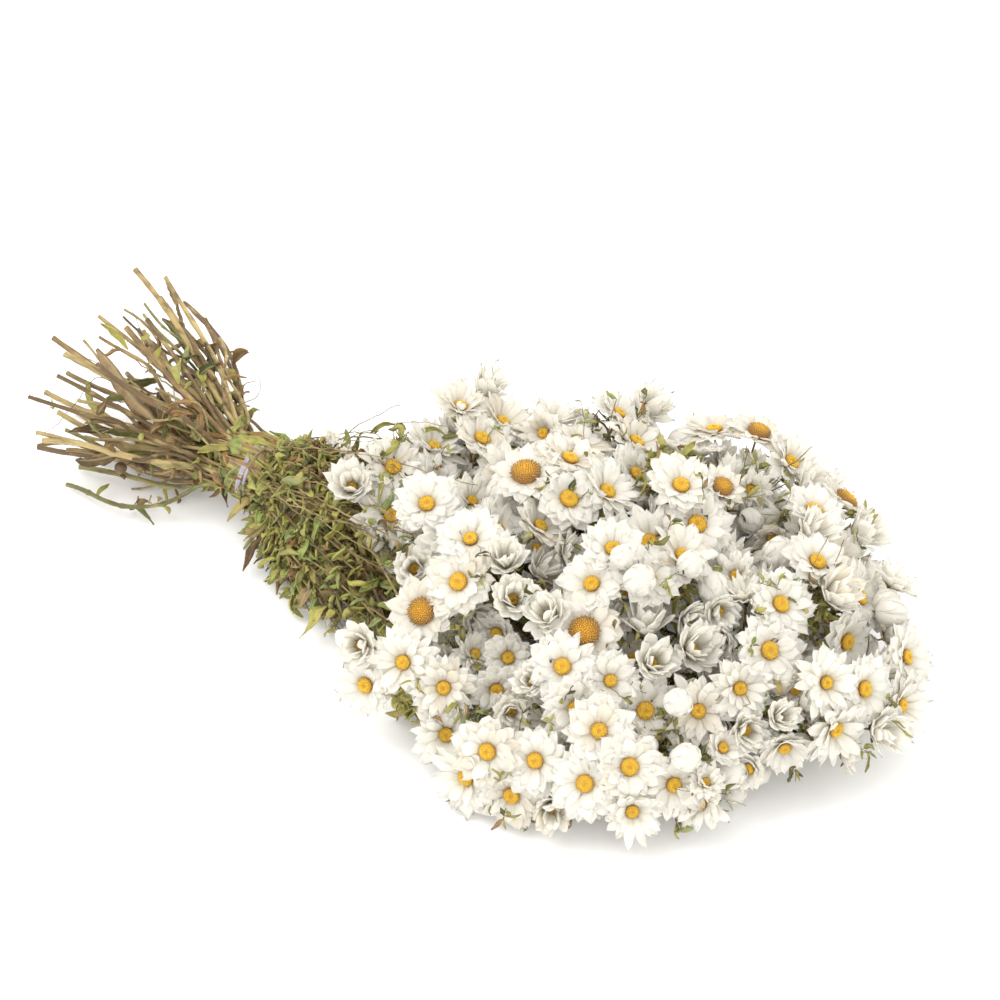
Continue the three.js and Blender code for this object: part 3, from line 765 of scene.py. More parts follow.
# Buds that stand out of the mound or hang from its edge: place in the plan and radius.
BUDS = (
    ((249, -39, 97), 7.6), ((291, -75, 65), 6.8), ((306, -96, 51), 6.8), ((235, -31, 101), 6.0),
    ((264, -12, 93), 6.6), ((261, 33, 66), 6.2), ((297, -68, 12), 5.2), ((306, -62, 14), 5.0),
    ((321, -66, 10), 5.6), ((297, -60, 23), 4.8), ((329, -56, 22), 5.6), ((186, -98, 22), 5.4),
    ((48, -47, 7), 2.8), ((61, -53, 7), 3.0), ((78, -58, 8), 3.2), ((91, -61, 9), 3.0),
)


def in_gap(place):
    """Whether a flower there would close one of the gaps, seen from where the flowers face."""
    for middle, radius in GAPS:
        away = place - SHIFT - middle
        outward = away @ OPEN_SIDE
        if outward > -GAP_BACK and np.linalg.norm(away - outward * OPEN_SIDE) < radius:
            return True
    return False


def fill_blooms():
    """Smaller flowers that close the mound between the sprays' own, and the buds."""
    rng = random_for("small flowers")
    hearts = np.array([bloom.heart for plant in PLANTS for bloom in plant.blooms])
    facings = np.array([bloom.facing for plant in PLANTS for bloom in plant.blooms])
    radii = np.array([bloom.radius for plant in PLANTS for bloom in plant.blooms])
    hubs = np.array([plant.hub for plant in PLANTS])
    own = len(hearts)

    def carry(bloom):
        """Gives a flower to the spray whose knuckle is nearest to where its stalk comes from."""
        ways = hubs - bloom[0] + bloom[1] * KNUCKLE_BACK
        PLANTS[int(np.argmin(np.linalg.norm(ways, axis=1)))].blooms.append(Bloom(*bloom))

    low, high = hearts.min(axis=0), hearts.max(axis=0)
    across, over = (np.arange(low[axis], high[axis], FILL_STEP) for axis in range(2))
    places = [(x, y) for x in across for y in over]
    for layer in range(FILL_LAYERS):
        for x, y in places:
            at = np.array((x, y)) + rng.uniform(-FILL_STEP / 2, FILL_STEP / 2, 2)
            reach = np.linalg.norm(hearts[:own, :2] - at, axis=1)
            if reach.min() > FILL_REACH or x - SHIFT[0] < FILL_START:
                continue
            bearing = np.arctan2(*(hearts[:own, :2] - at)[reach < FILL_ROUND].T[::-1])
            gaps = np.diff(np.sort(np.concatenate([bearing, bearing[:1] + 2 * math.pi])))
            if len(bearing) < 3 or gaps.max() > WIDEST_GAP:
                continue
            near = np.exp(-((reach / FILL_BLEND) ** 2))
            near /= near.sum()
            heart = np.array((*at, near @ hearts[:own, 2] + rng.uniform(-9, 3) - 8 * layer))
            kind = FILL_KINDS[rng.integers(len(FILL_KINDS))]
            radius = rng.uniform(6.0, 8.5) if kind == "bud" else rng.uniform(10, 16.5)
            apart = np.linalg.norm(hearts - heart, axis=1) / (radii + radius)
            if apart.min() < FILL_CLOSE or heart[2] < radius * 0.5 + 4 or in_gap(heart):
                continue
            facing = near @ facings[:own] + rng.normal(0, 0.85 if kind == "half shut" else 0.42, 3)
            facing = unit(facing + (0.4 * OPEN_SIDE if facing @ OPEN_SIDE < 0.2 else 0))
            carry((heart, facing, radius, kind))
            hearts = np.vstack([hearts, heart])
            facings = np.vstack([facings, facing])
            radii = np.append(radii, radius)
    for place, radius, kind in FRONT_BLOOMS + tuple((*bud, "bud") for bud in BUDS if bud[1] > TINY_BUD):
        heart = np.array(place) + SHIFT
        lean = (0.5, 0, -0.6 if place[2] < HANGING else 0.3) if kind == "bud" else rng.normal(0, 0.45, 3)
        carry((heart, unit(OPEN_SIDE + lean + rng.normal(0, 0.2, 3)), radius, kind))


fill_blooms()

# Where the discs are, for leaves that keep clear of them.
OPEN_BLOOMS = [bloom for plant in PLANTS for bloom in plant.blooms if bloom.kind != "bud"]
DISC_HEIGHT = 0.3  # from the flower's heart, beside its radius
DISC_ROOM = 0.38  # how far round a disc is kept clear, beside the flower's radius
DISC_FRONT = (-2, 15)  # and how far before it, from where to where
DISC_PLACES = np.array([bloom.heart + DISC_HEIGHT * bloom.radius * bloom.facing for bloom in OPEN_BLOOMS])
DISC_ROOMS = np.array([DISC_ROOM * bloom.radius for bloom in OPEN_BLOOMS])


def over_disc(places):
    """Whether any of the places lies before a disc, seen from where the flowers face."""
    away = np.asarray(places)[:, None] - DISC_PLACES
    outward = away @ OPEN_SIDE
    aside = np.linalg.norm(away - outward[..., None] * OPEN_SIDE, axis=2)
    in_front = (outward > DISC_FRONT[0]) & (outward < DISC_FRONT[1])
    return bool((in_front & (aside < DISC_ROOMS)).any())


PETAL_ROWS = 9
PETAL_COLUMNS = 5


def petal_outline(v, point, blunt):
    """Half a petal's width along it, as a share of its greatest: point is how long the tip is
    drawn out, and blunt what is left of the width at its end."""
    foot = 0.5 + 0.5 * smooth(0, 0.5, v)
    tip = np.clip((v - 0.55) / 0.45, 0, 1)
    return foot * np.maximum(np.clip(1 - tip ** (3.0 - 1.6 * point), 0, 1) ** (0.6 + 0.35 * point), blunt)


def petal_ring(skin, rng, bloom, count, width, cup, lift, reach=1.0, start=0.16, age=0.0, ragged=1.0):
    """One ring of petals, each a thin sheet that rises from the disc and opens outwards."""
    radius = bloom.radius
    v = np.linspace(0, 1, PETAL_ROWS)[None, :, None]
    u = np.linspace(-1, 1, PETAL_COLUMNS)[None, None, :]

    def each(values):
        return np.asarray(values)[:, None, None]

    angle = (np.arange(count) + rng.uniform()) * 2 * math.pi / count + rng.normal(0, 0.07 * ragged, count)
    length = each(reach * (1 + rng.normal(0, 0.05 * ragged, count)))
    tilt = rng.uniform(0, 0.3) * np.cos(angle - rng.uniform(0, 2 * math.pi))
    tall = each(cup * (1 + rng.uniform(-0.2, 0.2, count)) + 0.35 * tilt + rng.normal(0, 0.03 * ragged, count))
    droop = each(rng.uniform(-0.05, 0.12, count))
    twist = each(rng.normal(0, 0.08 * ragged, count))
    phase = each(rng.uniform(0, 2 * math.pi, count))
    channel = each(rng.uniform(0.0, 0.30, count))
    broad = each(width * (1 + rng.normal(0, 0.12, count)))
    point, blunt = each(rng.uniform(0, 1, count)), each(rng.uniform(0.03, 0.16, count))
    teeth = rng.normal(0, 0.045, (count, 1, PETAL_COLUMNS)) * smooth(0.65, 1, v)
    spread = np.sqrt(np.clip(1 - 0.5 * tall**2, 0.12, 1)) * radius * length
    out = start * radius + (spread - start * radius) * (v + teeth)
    half = 0.5 * broad * radius * petal_outline(v, point, blunt)
    # Each petal rises and bulges from the disc, and droops at its tip.
    high = lift + tall * radius * length * (v + teeth) ** 1.25 + 0.05 * radius * np.sin(math.pi * v)
    high = high - droop * radius * smooth(0.6, 1, v)
    side = u * half
    # Its edges stand higher than its middle, and it twists, waves and bends to one side.
    high = high + channel * half * np.abs(u) ** 1.6 + twist * side
    high = high + 0.02 * radius * np.sin(2 * math.pi * 1.3 * v + phase) * u
    high = high + 0.014 * radius * np.sin(5 * u + phase) * smooth(0.3, 1, v)
    side = side + 0.03 * radius * np.sin(2.2 * v + phase) * v
    c, s = np.cos(each(angle)), np.sin(each(angle))
    local = joined(out * c - side * s, out * s + side * c, high)
    own = each(np.clip(age + rng.uniform(0, 0.6, count), 0, 1))
    skin.sheets(bloom.heart + local @ basis_of(bloom.facing).T, joined(v, 0.5 + 0.5 * u, own))


# For each kind of flower its rings of petals: least and most petals, their width, how much
# higher they stand than the flower's cup (times, plus), lift, and reach.
PETAL_RINGS = {
    "open": ((13, 16, 0.50, 0.86, 0.0, -0.2, 1.05), (12, 14, 0.47, 0.96, 0.05, 0.3, 0.97),
             (9, 12, 0.40, 1.0, 0.13, 0.8, 0.82)),
    "ripe": ((12, 15, 0.48, 0.80, 0.0, -0.2, 1.05), (10, 13, 0.44, 0.90, 0.05, 0.4, 0.93)),
    "shaggy": ((15, 18, 0.36, 0.80, 0.0, -0.2, 1.08), (13, 16, 0.34, 1.0, 0.14, 0.4, 0.98),
               (10, 13, 0.30, 1.0, 0.32, 0.9, 0.84)),
    "half shut": ((11, 14, 0.48, 0.82, 0.0, -0.2, 1.0), (10, 12, 0.44, 0.96, 0.04, 0.3, 0.97),
                  (7, 9, 0.38, 1.10, 0.08, 0.8, 0.86)),
}
DISC_SHARES = {"open": (0.21, 0.27), "ripe": (0.35, 0.42), "shaggy": (0.19, 0.25), "half shut": (0.16, 0.22)}


TIRED_SHARE = 0.22  # of the flowers, whose petals have begun to turn tan
TIRED_AGE = 0.4
RAGGED = 1.8  # how much more a shaggy flower's petals differ from each other


def bloom_petals(skin, rng, bloom):
    """A flower's petals, ring by ring from the outermost."""
    if bloom.kind == "bud":
        closed_bud(skin, rng, bloom)
        return
    age = TIRED_AGE if rng.uniform() < TIRED_SHARE or bloom.kind == "ripe" else 0.0
    ragged = RAGGED if bloom.kind == "shaggy" else 1.0
    for least, most, width, times, plus, lift, reach in PETAL_RINGS[bloom.kind]:
        count = rng.integers(least, most)
        cup = bloom.cup * times + plus
        petal_ring(skin, rng, bloom, count, width, cup, lift, reach, age=age, ragged=ragged)


# A bud's rows of scales, from the innermost: how many, their size, and how far up they reach.
SCALE_ROWS = ((5, 0.95, 0.97), (6, 1.0, 0.86), (6, 1.04, 0.66))


def closed_bud(skin, rng, bloom):
    """An egg of white scales that lie over each other, three rows round one closed heart."""
    basis = basis_of(bloom.facing)
    tall = bloom.radius * rng.uniform(1.15, 1.35)
    v = np.linspace(0, 1, 12)[None, :, None]
    u = np.linspace(-1, 1, 9)[None, None, :]
    for row, (count, size, end) in enumerate(SCALE_ROWS):
        angle = (np.arange(count) + rng.uniform()) * 2 * math.pi / count
        reach = (end + rng.normal(0, 0.03, count))[:, None, None]
        rise = math.pi * np.clip(v * reach, 0, 0.985)
        across = angle[:, None, None] + u * (3.4 / count) * np.sqrt(np.clip(1 - v**3, 0.03, 1))
        round_it = size * bloom.radius * np.sin(rise) ** 0.85 * (1 + 0.02 * np.sin(3 * across + row))
        round_it = round_it + 0.12 * (1 - np.abs(u)) * row
        high = tall * (0.62 - np.cos(rise)) * size
        local = joined(round_it * np.cos(across), round_it * np.sin(across), high)
        own = rng.uniform(0, 0.5, count)[:, None, None]
        skin.sheets(bloom.heart + local @ basis.T, joined(0.4 + 0.6 * v, 0.5 + 0.5 * u, own))
    rise = np.linspace(0.12, math.pi - 0.03, 13)
    line = bloom.heart + (0.96 * tall * (0.62 - np.cos(rise)))[:, None] * bloom.facing
    skin.tube(line, 0.95 * bloom.radius * np.sin(rise) ** 0.85, 14, 0.2)


def bloom_disc(skin, rng, bloom):
    """A flower's disc: a low dome with a dimple, set all over with florets in spirals."""
    if bloom.kind == "bud":
        return
    basis = basis_of(bloom.facing)
    is_ripe = bloom.kind == "ripe"
    ripe = 0.9 if is_ripe else 0.3 * rng.uniform()
    disc = bloom.radius * rng.uniform(*DISC_SHARES[bloom.kind])
    floor = DISC_FLOOR + 0.6 * min(bloom.cup, 0.6) * disc
    tall = disc * (0.62 if is_ripe else 0.44)

    def dome(out):
        dimple = (0.05 if is_ripe else 0.24) * np.exp(-((out / 0.34) ** 2))
        return floor + tall * (np.sqrt(np.clip(1 - 0.9 * out**2, 0, 1)) - dimple)

    rings = np.linspace(0, 1, 7)[1:]
    sides = 20
    angle = angles_round(sides)
    out = np.concatenate([rings, [0.92, 0.45]])
    high = np.concatenate([dome(rings), [floor - 0.15 * disc, 0.2]])
    rim = disc * out[:, None]
    places = joined(rim * np.cos(angle), rim * np.sin(angle), high[:, None]).reshape(-1, 3)
    places = np.concatenate([places, [(0, 0, dome(0.0))]])
    growth = [(min(o, 1), 0.0, ripe) for o in out for _ in range(sides)] + [(0, 0, ripe)]
    k, k_next = neighbours_round(sides)
    ring = np.arange(len(out) - 1)[:, None] * sides
    quads = np.stack([ring + k, ring + sides + k, ring + sides + k_next, ring + k_next], axis=-1)
    top = np.stack([np.full(sides, len(out) * sides), k, k_next], axis=-1)
    skin.add(bloom.heart + places @ basis.T, growth, quads=quads.reshape(-1, 4), triangles=top)

    # The florets: each is a small blunt cone with five sides, and leans a little from the dome.
    count = int(46 + 14 * disc)
    n = np.arange(count)
    out = np.sqrt((n + 0.5) / count)
    turn = n * GOLDEN_ANGLE
    size = disc / math.sqrt(count) * (0.95 if is_ripe else 0.9) * rng.uniform(0.85, 1.15, count)
    stand = size * np.where(out > 0.55, 1.15, 0.75) * (1.9 if is_ripe else 1.0)
    slope = (dome(out + 0.03) - dome(out - 0.03)) / (0.06 * disc)
    lean = joined(-slope * np.cos(turn), -slope * np.sin(turn), 1.0)
    lean = units(lean + rng.normal(0, 0.2 if is_ripe else 0.13, lean.shape))
    foot = joined(disc * out * np.cos(turn), disc * out * np.sin(turn), dome(out))
    side = units(np.cross(lean, (0.0, 1.0, 0.0)))
    other = np.cross(lean, side)
    angle = angles_round(5)
    wheel = side[:, None] * np.cos(angle)[None, :, None] + other[:, None] * np.sin(angle)[None, :, None]
    levels = [
        foot[:, None] + wheel * (share * size)[:, None, None] + (lean * (up * stand)[:, None])[:, None]
        for share, up in ((0.86, -0.25), (0.62, 0.75))
    ]
    top = (foot + lean * stand[:, None])[:, None]
    places = np.concatenate(levels + [top], axis=1)
    # How high up its floret each corner is; the disc's material uses it to paint shade at the florets' feet.
    heights = np.array([0.0] * 5 + [0.8] * 5 + [1.0])
    own = np.full(count, ripe) if is_ripe else ripe + rng.uniform(0, 0.3, count)
    growth = joined(out[:, None], heights[None], own[:, None])
    start = np.arange(count)[:, None] * 11
    k, k_next = neighbours_round(5)
    quads = joined(start + k, start + k_next, start + 5 + k_next, start + 5 + k)
    tops = joined(start + 10, start + 5 + k, start + 5 + k_next)
    skin.add(bloom.heart + places.reshape(-1, 3) @ basis.T, growth, quads=quads.reshape(-1, 4),
             triangles=tops.reshape(-1, 3))


def stalk_line(hub, bloom):
    """The way a stalk takes from the knuckle to the back of its flower."""
    heart, facing = bloom.heart, bloom.facing
    reach = np.linalg.norm(heart - hub)
    elbow = mix(heart - ELBOW_BACK * reach * facing, hub, ELBOW_PULL)
    t = np.linspace(0, 1, 11)[:, None]
    return (1 - t) ** 2 * hub + 2 * t * (1 - t) * elbow + t**2 * (heart - 0.4 * facing)


# The swelling at a stalk's end: places along the flower's facing, and the radius at each.
SWELLING = ((-3.2, 0.7), (-2.2, 1.0), (-1.2, 1.7), (-0.5, 2.7), (0.1, 3.1), (0.5, 2.4))


def bloom_stalk(skin, rng, hub, bloom):
    """A stalk that swells under its flower, with dry scales round the swelling."""
    line = stalk_line(hub, bloom)
    own = rng.uniform(0.1, 0.75)
    radii = np.linspace(0.95, 0.6, len(line)) * (1 + 0.06 * rng.normal(size=len(line)))
    skin.tube(line, radii, 7, own, ribs=3, depth=0.08)
    skin.tube([bloom.heart + bloom.facing * z for z, _ in SWELLING], [r for _, r in SWELLING], 12, own)
    scales = Bloom(bloom.heart - bloom.facing * 1.9, bloom.facing, bloom.radius * 0.42, "open")
    petal_ring(skin, rng, scales, 9, 0.5, 0.5, 0.3, 1.0, start=0.2)


# ---- Properties, operators and panel ---------------------------------------------------------


def colour_property(name, description, default):
    return FloatVectorProperty(name=name, description=description, default=default, subtype="COLOR",
                               size=3, min=0, max=1)


def length_property(name, description, default):
    return FloatProperty(name=name, description=description, default=default, subtype="DISTANCE",
                         unit="LENGTH", min=0, precision=5)


def count_property(name, description, default):
    return IntProperty(name=name, description=description, default=default, min=0)


def angle_property(name, description, degrees):
    return FloatProperty(name=name, description=description, default=math.radians(degrees),
                         subtype="ANGLE", unit="ROTATION")


class DaisyColours(bpy.types.PropertyGroup):
    """Colours of the bunch."""

    petal_colour: colour_property("Petals", "Colour of a fresh part of a petal", (0.975, 0.968, 0.935))
    petal_shade: colour_property("Petal veins", "Colour along a petal's veins", (0.935, 0.925, 0.895))
    petal_glow: colour_property("Light through petals", "Colour of light through a petal", (0.98, 0.95, 0.87))
    petal_foot: colour_property("Petal foot", "Colour where a petal meets its disc", (0.82, 0.76, 0.55))
    disc_colour: colour_property("Discs", "Colour of a disc's florets", (0.96, 0.70, 0.07))
    old_disc_colour: colour_property("Old discs", "Colour of an overripe disc", (0.24, 0.17, 0.08))
    stem_colour: colour_property("Stems", "Straw colour of most stems", (0.50, 0.35, 0.13))
    stem_dark: colour_property("Dark stems", "Colour of a stem's darkest parts", (0.14, 0.086, 0.035))
    leaf_colour: colour_property("Leaves", "Olive colour of most leaves", (0.35, 0.345, 0.08))
    leaf_dark: colour_property("Dark leaves", "Colour of the darkest leaves", (0.06, 0.07, 0.022))
    lime_leaf: colour_property("Fresh leaves", "Colour of the freshest leaves", (0.28, 0.37, 0.09))
    band_colour: colour_property("Elastic band", "Colour of the rubber", (0.28, 0.25, 0.35))


class DaisySizes(bpy.types.PropertyGroup):
    """Sizes of the bunch and its stage."""

    petal_thickness: length_property("Petal thickness", "Thickness of a petal", 0.00022)
    leaf_thickness: length_property("Leaf thickness", "Thickness of a leaf", 0.0004)
    stem_radius: length_property("Stem radius", "Radius of a thick stem", 0.00165)
    band_radius: length_property("Band thickness", "Half the thickness of the rubber", 0.0009)
    extra_leaves: count_property("Small leaves", "Small leaves on each stem", 84)
    loose_stems: count_property("Loose stems", "Thin stems between the others", 36)
    low_shoots: count_property("Low shoots", "Leafy shoots that lie on the surface in front", 40)
    far_shoots: count_property("Far shoots", "Leafy shoots that lie on the surface behind", 18)
    upright_shoots: count_property("Upright shoots", "Leafy shoots on top of the stems", 22)
    shoot_leaves: count_property("Leaves of a shoot", "Small leaves on each side shoot", 20)
    band_leaves: count_property("Leaves over the band", "Leaves that lie over the band", 84)
    band_stalks: count_property("Stalks over the band", "Thin stalks that lie over the band", 26)
    shrivelled_leaves: count_property("Shrivelled leaves", "Dried leaves on each cut end", 5)
    bent_ends: count_property("Bent ends", "Thin bent stalks among the cut ends", 34)
    stray_stalks: count_property("Stray stalks", "Thin stalks across the leaves", 42)
    stalk_leaves: count_property("Stalk leaves", "Small leaves on each flower's stalk", 3)
    spent_stalks: count_property("Spent stalks", "Stalks without a flower in each spray", 18)
    gap_sprigs: count_property("Sprigs in gaps", "Leafy sprigs in each gap of the mound", 26)
    tiny_florets: count_property("Tiny florets", "Tiny pale florets near the band", 20)
    camera_turn: angle_property("Camera turn", "Where the camera stands round the bunch", 29.5)
    camera_rise: angle_property("Camera rise", "How high the camera looks down from", 42)
    camera_lens: FloatProperty(name="Lens", description="Focal length in millimetres", default=160,
                               subtype="DISTANCE_CAMERA", unit="CAMERA")
    camera_distance: length_property("Camera distance", "From the camera to what it aims at", 2.338)


def sizes():
    return bpy.context.scene.daisy_sizes


def colours():
    """The colours as plain tuples."""
    group = bpy.context.scene.daisy_colours
    return SimpleNamespace(**{key: tuple(getattr(group, key)) for key in DaisyColours.__annotations__})


def make_for_sprays(grow, recipe, name, node):
    """One piece for each spray, in place of one of its solids."""
    for plant in PLANTS:
        skin = Skin()
        grow(skin, plant)
        skin.piece(f"{name}_{plant.number}", recipe, (f"{node}_{plant.number}",))


class DAISY_OT_petals(bpy.types.Operator):
    """Make the white petals of every flower"""

    bl_idname = "daisy.petals"
    bl_label = "Petals"

    def execute(self, context):
        make_for_sprays(self.grow, papery_white_petal, "bloom_petals", "petals")
        return {"FINISHED"}

    def grow(self, skin, plant):
        rng = random_for("petals", plant.i)
        for bloom in plant.blooms:
            bloom_petals(skin, rng, bloom)


class DAISY_OT_discs(bpy.types.Operator):
    """Make the golden discs in the middle of the flowers"""

    bl_idname = "daisy.discs"
    bl_label = "Discs"

    def execute(self, context):
        make_for_sprays(self.grow, golden_disc, "bloom_discs", "disc_stalks")
        return {"FINISHED"}

    def grow(self, skin, plant):
        rng = random_for("discs", plant.i)
        for bloom in plant.blooms:
            bloom_disc(skin, rng, bloom)


class DAISY_OT_stalks(bpy.types.Operator):
    """Make the thin stalks that carry the flowers"""

    bl_idname = "daisy.stalks"
    bl_label = "Stalks"

    def execute(self, context):
        make_for_sprays(self.grow, straw_stem, "bloom_stalks", "disc_stalks")
        return {"FINISHED"}

    def grow(self, skin, plant):
        rng = random_for("stalks", plant.i)
        for bloom in plant.blooms:
            bloom_stalk(skin, rng, plant.hub, bloom)


class DAISY_OT_stems(bpy.types.Operator):
    """Make the dried stems"""

    bl_idname = "daisy.stems"
    bl_label = "Stems"

    def execute(self, context):
        make_for_sprays(self.grow, straw_stem, "dry_stems", "leafy_stem")
        return {"FINISHED"}

    def grow(self, skin, plant):
        for points in plant.stems:
            grow_stem(skin, plant.rng, points)
        knuckle = np.linspace(plant.hub - (HUB_RADIUS, 0, 0), plant.hub + (HUB_RADIUS, 0, 0), 5)
        skin.tube(knuckle, (0.7, 1.6, 1.9, 1.6, 0.7), 9, 0.3)


def grow_stem(skin, rng, points, least=0.72, most=1.08, sway=1.3):
    """A stem with lengthwise ribs, bent a little at the knots where leaves grew, and a cut end."""
    line = dense(points, 2.2)
    count = len(line)
    base = sizes().stem_radius / MM * rng.uniform(least, most)
    radii = base * np.linspace(0.92, 0.74, count)
    knots = np.cumsum(rng.uniform(6, 13, count // 6 + 2)).astype(int)
    bends = rng.normal(0, 1.25, (len(knots), 3)) * (1, 1, 0.8)
    offset = np.stack([np.interp(np.arange(count), knots, bends[:, axis]) for axis in range(3)], axis=-1)
    offset += sway * np.sin(np.arange(count)[:, None] / rng.uniform(4.5, 8, 3) + rng.uniform(0, 6, 3))
    at = line[:, 0] - SHIFT[0]
    line = line + offset * (smooth(9, 24, np.abs(at)) * smooth(0, 6, np.arange(count)[::-1]))[:, None]
    for knot in knots[knots < count]:
        radii = radii * (1 + rng.uniform(0.1, 0.5) * np.exp(-(((np.arange(count) - knot) / 0.8) ** 2)))
    radii = radii * (1 + 0.06 * rng.normal(size=count))
    skin.tube(line, radii, 11, rng.uniform(), ribs=5, depth=0.09)


# Where the longest of the thinner stems were cut, in the plan.
CUT_ENDS = ((-115, -40, 26), (-133, 23, 52), (-124, 32, 56), (-117, 50, 60), (-97, 42, 56), (-83, 79, 52))
BUNDLE = (14.6, 10.6)  # how far the bundle reaches across and up in the band, from its middle
LOOSE_FAN = 0.8  # how far the thinner stems fan out, beside the solid ones
LOOSE_TRIES = 4000


def loose_stems():
    """Thinner stems that fill the bundle between the solid ones: the points each runs through."""
    rng = random_for("loose stem lines")
    taken = [np.array((y + side * PAIR_OFFSET, z)) for y, z in cells() for side in (1, -1)]
    stems = []
    for _ in range(LOOSE_TRIES):
        angle, out = rng.uniform(0, 2 * math.pi), math.sqrt(rng.uniform())
        y, up = BUNDLE[0] * out * math.cos(angle), BUNDLE[1] * out * math.sin(angle)
        room = min(np.linalg.norm(place - (y, up)) for place in taken)
        if room < STEM_RADIUS or len(stems) == sizes().loose_stems:
            continue
        taken.append(np.array((y, up)))
        goal = PLANTS[rng.integers(len(PLANTS))]
        end = goal.hub - SHIFT
        late = mix(end, np.array((STRAIGHT, y, TIE_HEIGHT + up)), 0.22) + rng.normal(0, 5, 3)
        cut_end = np.array((
            -CUT_REACH * rng.uniform(0.45, 0.95),
            CUT_SHIFT + y * CUT_FAN * LOOSE_FAN + rng.normal(0, 8),
            max(1.6, TIE_HEIGHT + up * CUT_FAN * LOOSE_FAN + rng.normal(0, 8)),
        ))
        if len(stems) < len(CUT_ENDS):
            cut_end = np.array(CUT_ENDS[len(stems)], float)
        bend = np.array((
            cut_end[0] / 2,
            mix(y, cut_end[1], BEND_SHARE) + rng.normal(0, 2.5),
            mix(TIE_HEIGHT + up, cut_end[2], BEND_SHARE) + rng.normal(0, 2.5),
        ))
        early = early_knot(y, TIE_HEIGHT + up, late) + rng.normal(0, 3, 3)
        knots = [cut_end, bend, np.array((-STRAIGHT, y, TIE_HEIGHT + up)),
                 np.array((STRAIGHT, y, TIE_HEIGHT + up)), early, late, end]
        stems.append(np.array([spline(knots, n / 12) for n in range(13)]) + SHIFT)
    return stems


class DAISY_OT_loose_stems(bpy.types.Operator):
    """Make the thinner stems between the others, with their leaves"""

    bl_idname = "daisy.loose_stems"
    bl_label = "Loose stems"

    def execute(self, context):
        rng = random_for("loose stems")
        stems, leaves = Skin(), (Skin(), Skin())
        for n, points in enumerate(loose_stems()):
            grow_stem(stems, rng, points, 0.42, 0.75, 2.6)
            small_leaves(leaves[n % 2], rng, points, sizes().extra_leaves // 2)
        stems.piece("loose_stems", straw_stem)
        leaf_pieces("loose_leaves", leaves)
        return {"FINISHED"}


class DAISY_OT_leaves(bpy.types.Operator):
    """Make the curled olive leaves along the stems"""

    bl_idname = "daisy.leaves"
    bl_label = "Leaves"

    def execute(self, context):
        make_for_sprays(self.grow, olive_leaf, "leaves", "leafy_stem")
        return {"FINISHED"}

    def grow(self, skin, plant):
        rng = random_for("leaves", plant.i)
        for *ribs, width, upper in plant.blades:
            curled_leaf(skin, rng, ribs, width, upper)
        for points in plant.stems:
            small_leaves(skin, rng, points, sizes().extra_leaves)


LEAF_ROWS = 8
LEAF_COLUMNS = 5


def curled_leaf(skin, rng, ribs, width, upper, own=None, twisting=0.9):
    """A dried leaf along four points: its edges curl in, and it buckles along its length."""
    rib = np.array([spline(ribs, share) for share in np.linspace(0, 1, LEAF_ROWS)])
    along = units(np.gradient(rib, axis=0))
    side = units(np.cross(upper, along))
    up = np.cross(along, side)
    share = np.linspace(0, 1, LEAF_ROWS)[:, None]
    twist = twisting * (rng.normal() * share + 0.33 * rng.normal())
    side, up = np.cos(twist) * side + np.sin(twist) * up, np.cos(twist) * up - np.sin(twist) * side
    u = np.linspace(-1, 1, LEAF_COLUMNS)[None]
    half = 0.5 * width * np.maximum(np.sin(math.pi * share ** rng.uniform(0.65, 1.0)) ** 0.8, 0.10)
    half = half * (1 + rng.normal(0, 0.13, (LEAF_ROWS, LEAF_COLUMNS)))
    curl = rng.uniform(0.5, 2.0)
    bend = curl * u
    across = half * np.sin(bend) / curl
    rise = half * (1 - np.cos(bend)) / curl * rng.choice([1, 1, -1])
    rise = rise + 0.09 * width * np.sin(rng.uniform(5, 9) * share + rng.uniform(0, 6) + 1.2 * u)
    places = rib[:, None] + side[:, None] * across[..., None] + up[:, None] * rise[..., None]
    own = rng.uniform() if own is None else own
    skin.sheets(places[None], joined(share, 0.5 + 0.5 * u, own)[None])


def leaf_pieces(name, skins):
    """Numbered pieces, because so many leaves are more than one exported piece may hold."""
    for n, skin in enumerate(skins, 1):
        skin.piece(f"{name}_{n}", olive_leaf)


LEAFY_PART = (8, 150)  # out from the band, where most small leaves grow
FLOWERY_PART = 120  # and from where they grow among the flowers
STRAY_DRAW = 0.95  # a leaf that draws more than this grows anywhere along its stem
FLOWERY_DRAW = 0.62  # and one that draws more than this grows among the flowers
BARE_LENGTH = 7  # no small leaf grows nearer to the band than this


def small_leaves(skin, rng, points, count):
    """Small curled leaves, dense from the band to where the flowers begin."""
    line = dense(points, STEM_STEP)
    start = line[:, 0] - SHIFT[0]
    dense_part = np.nonzero((start > LEAFY_PART[0]) & (start < LEAFY_PART[1]))[0]
    flowery = np.nonzero(start >= FLOWERY_PART)[0][:-2]
    for _ in range(count if len(dense_part) > 2 else 0):
        at = int(rng.choice(dense_part))
        draw = rng.uniform()
        if draw > STRAY_DRAW:
            at = int(rng.integers(3, len(line) - 2))
        elif draw > FLOWERY_DRAW and len(flowery):
            at = int(rng.choice(flowery))
        if abs(start[at]) > BARE_LENGTH:
            leaf_on(skin, rng, line, at)


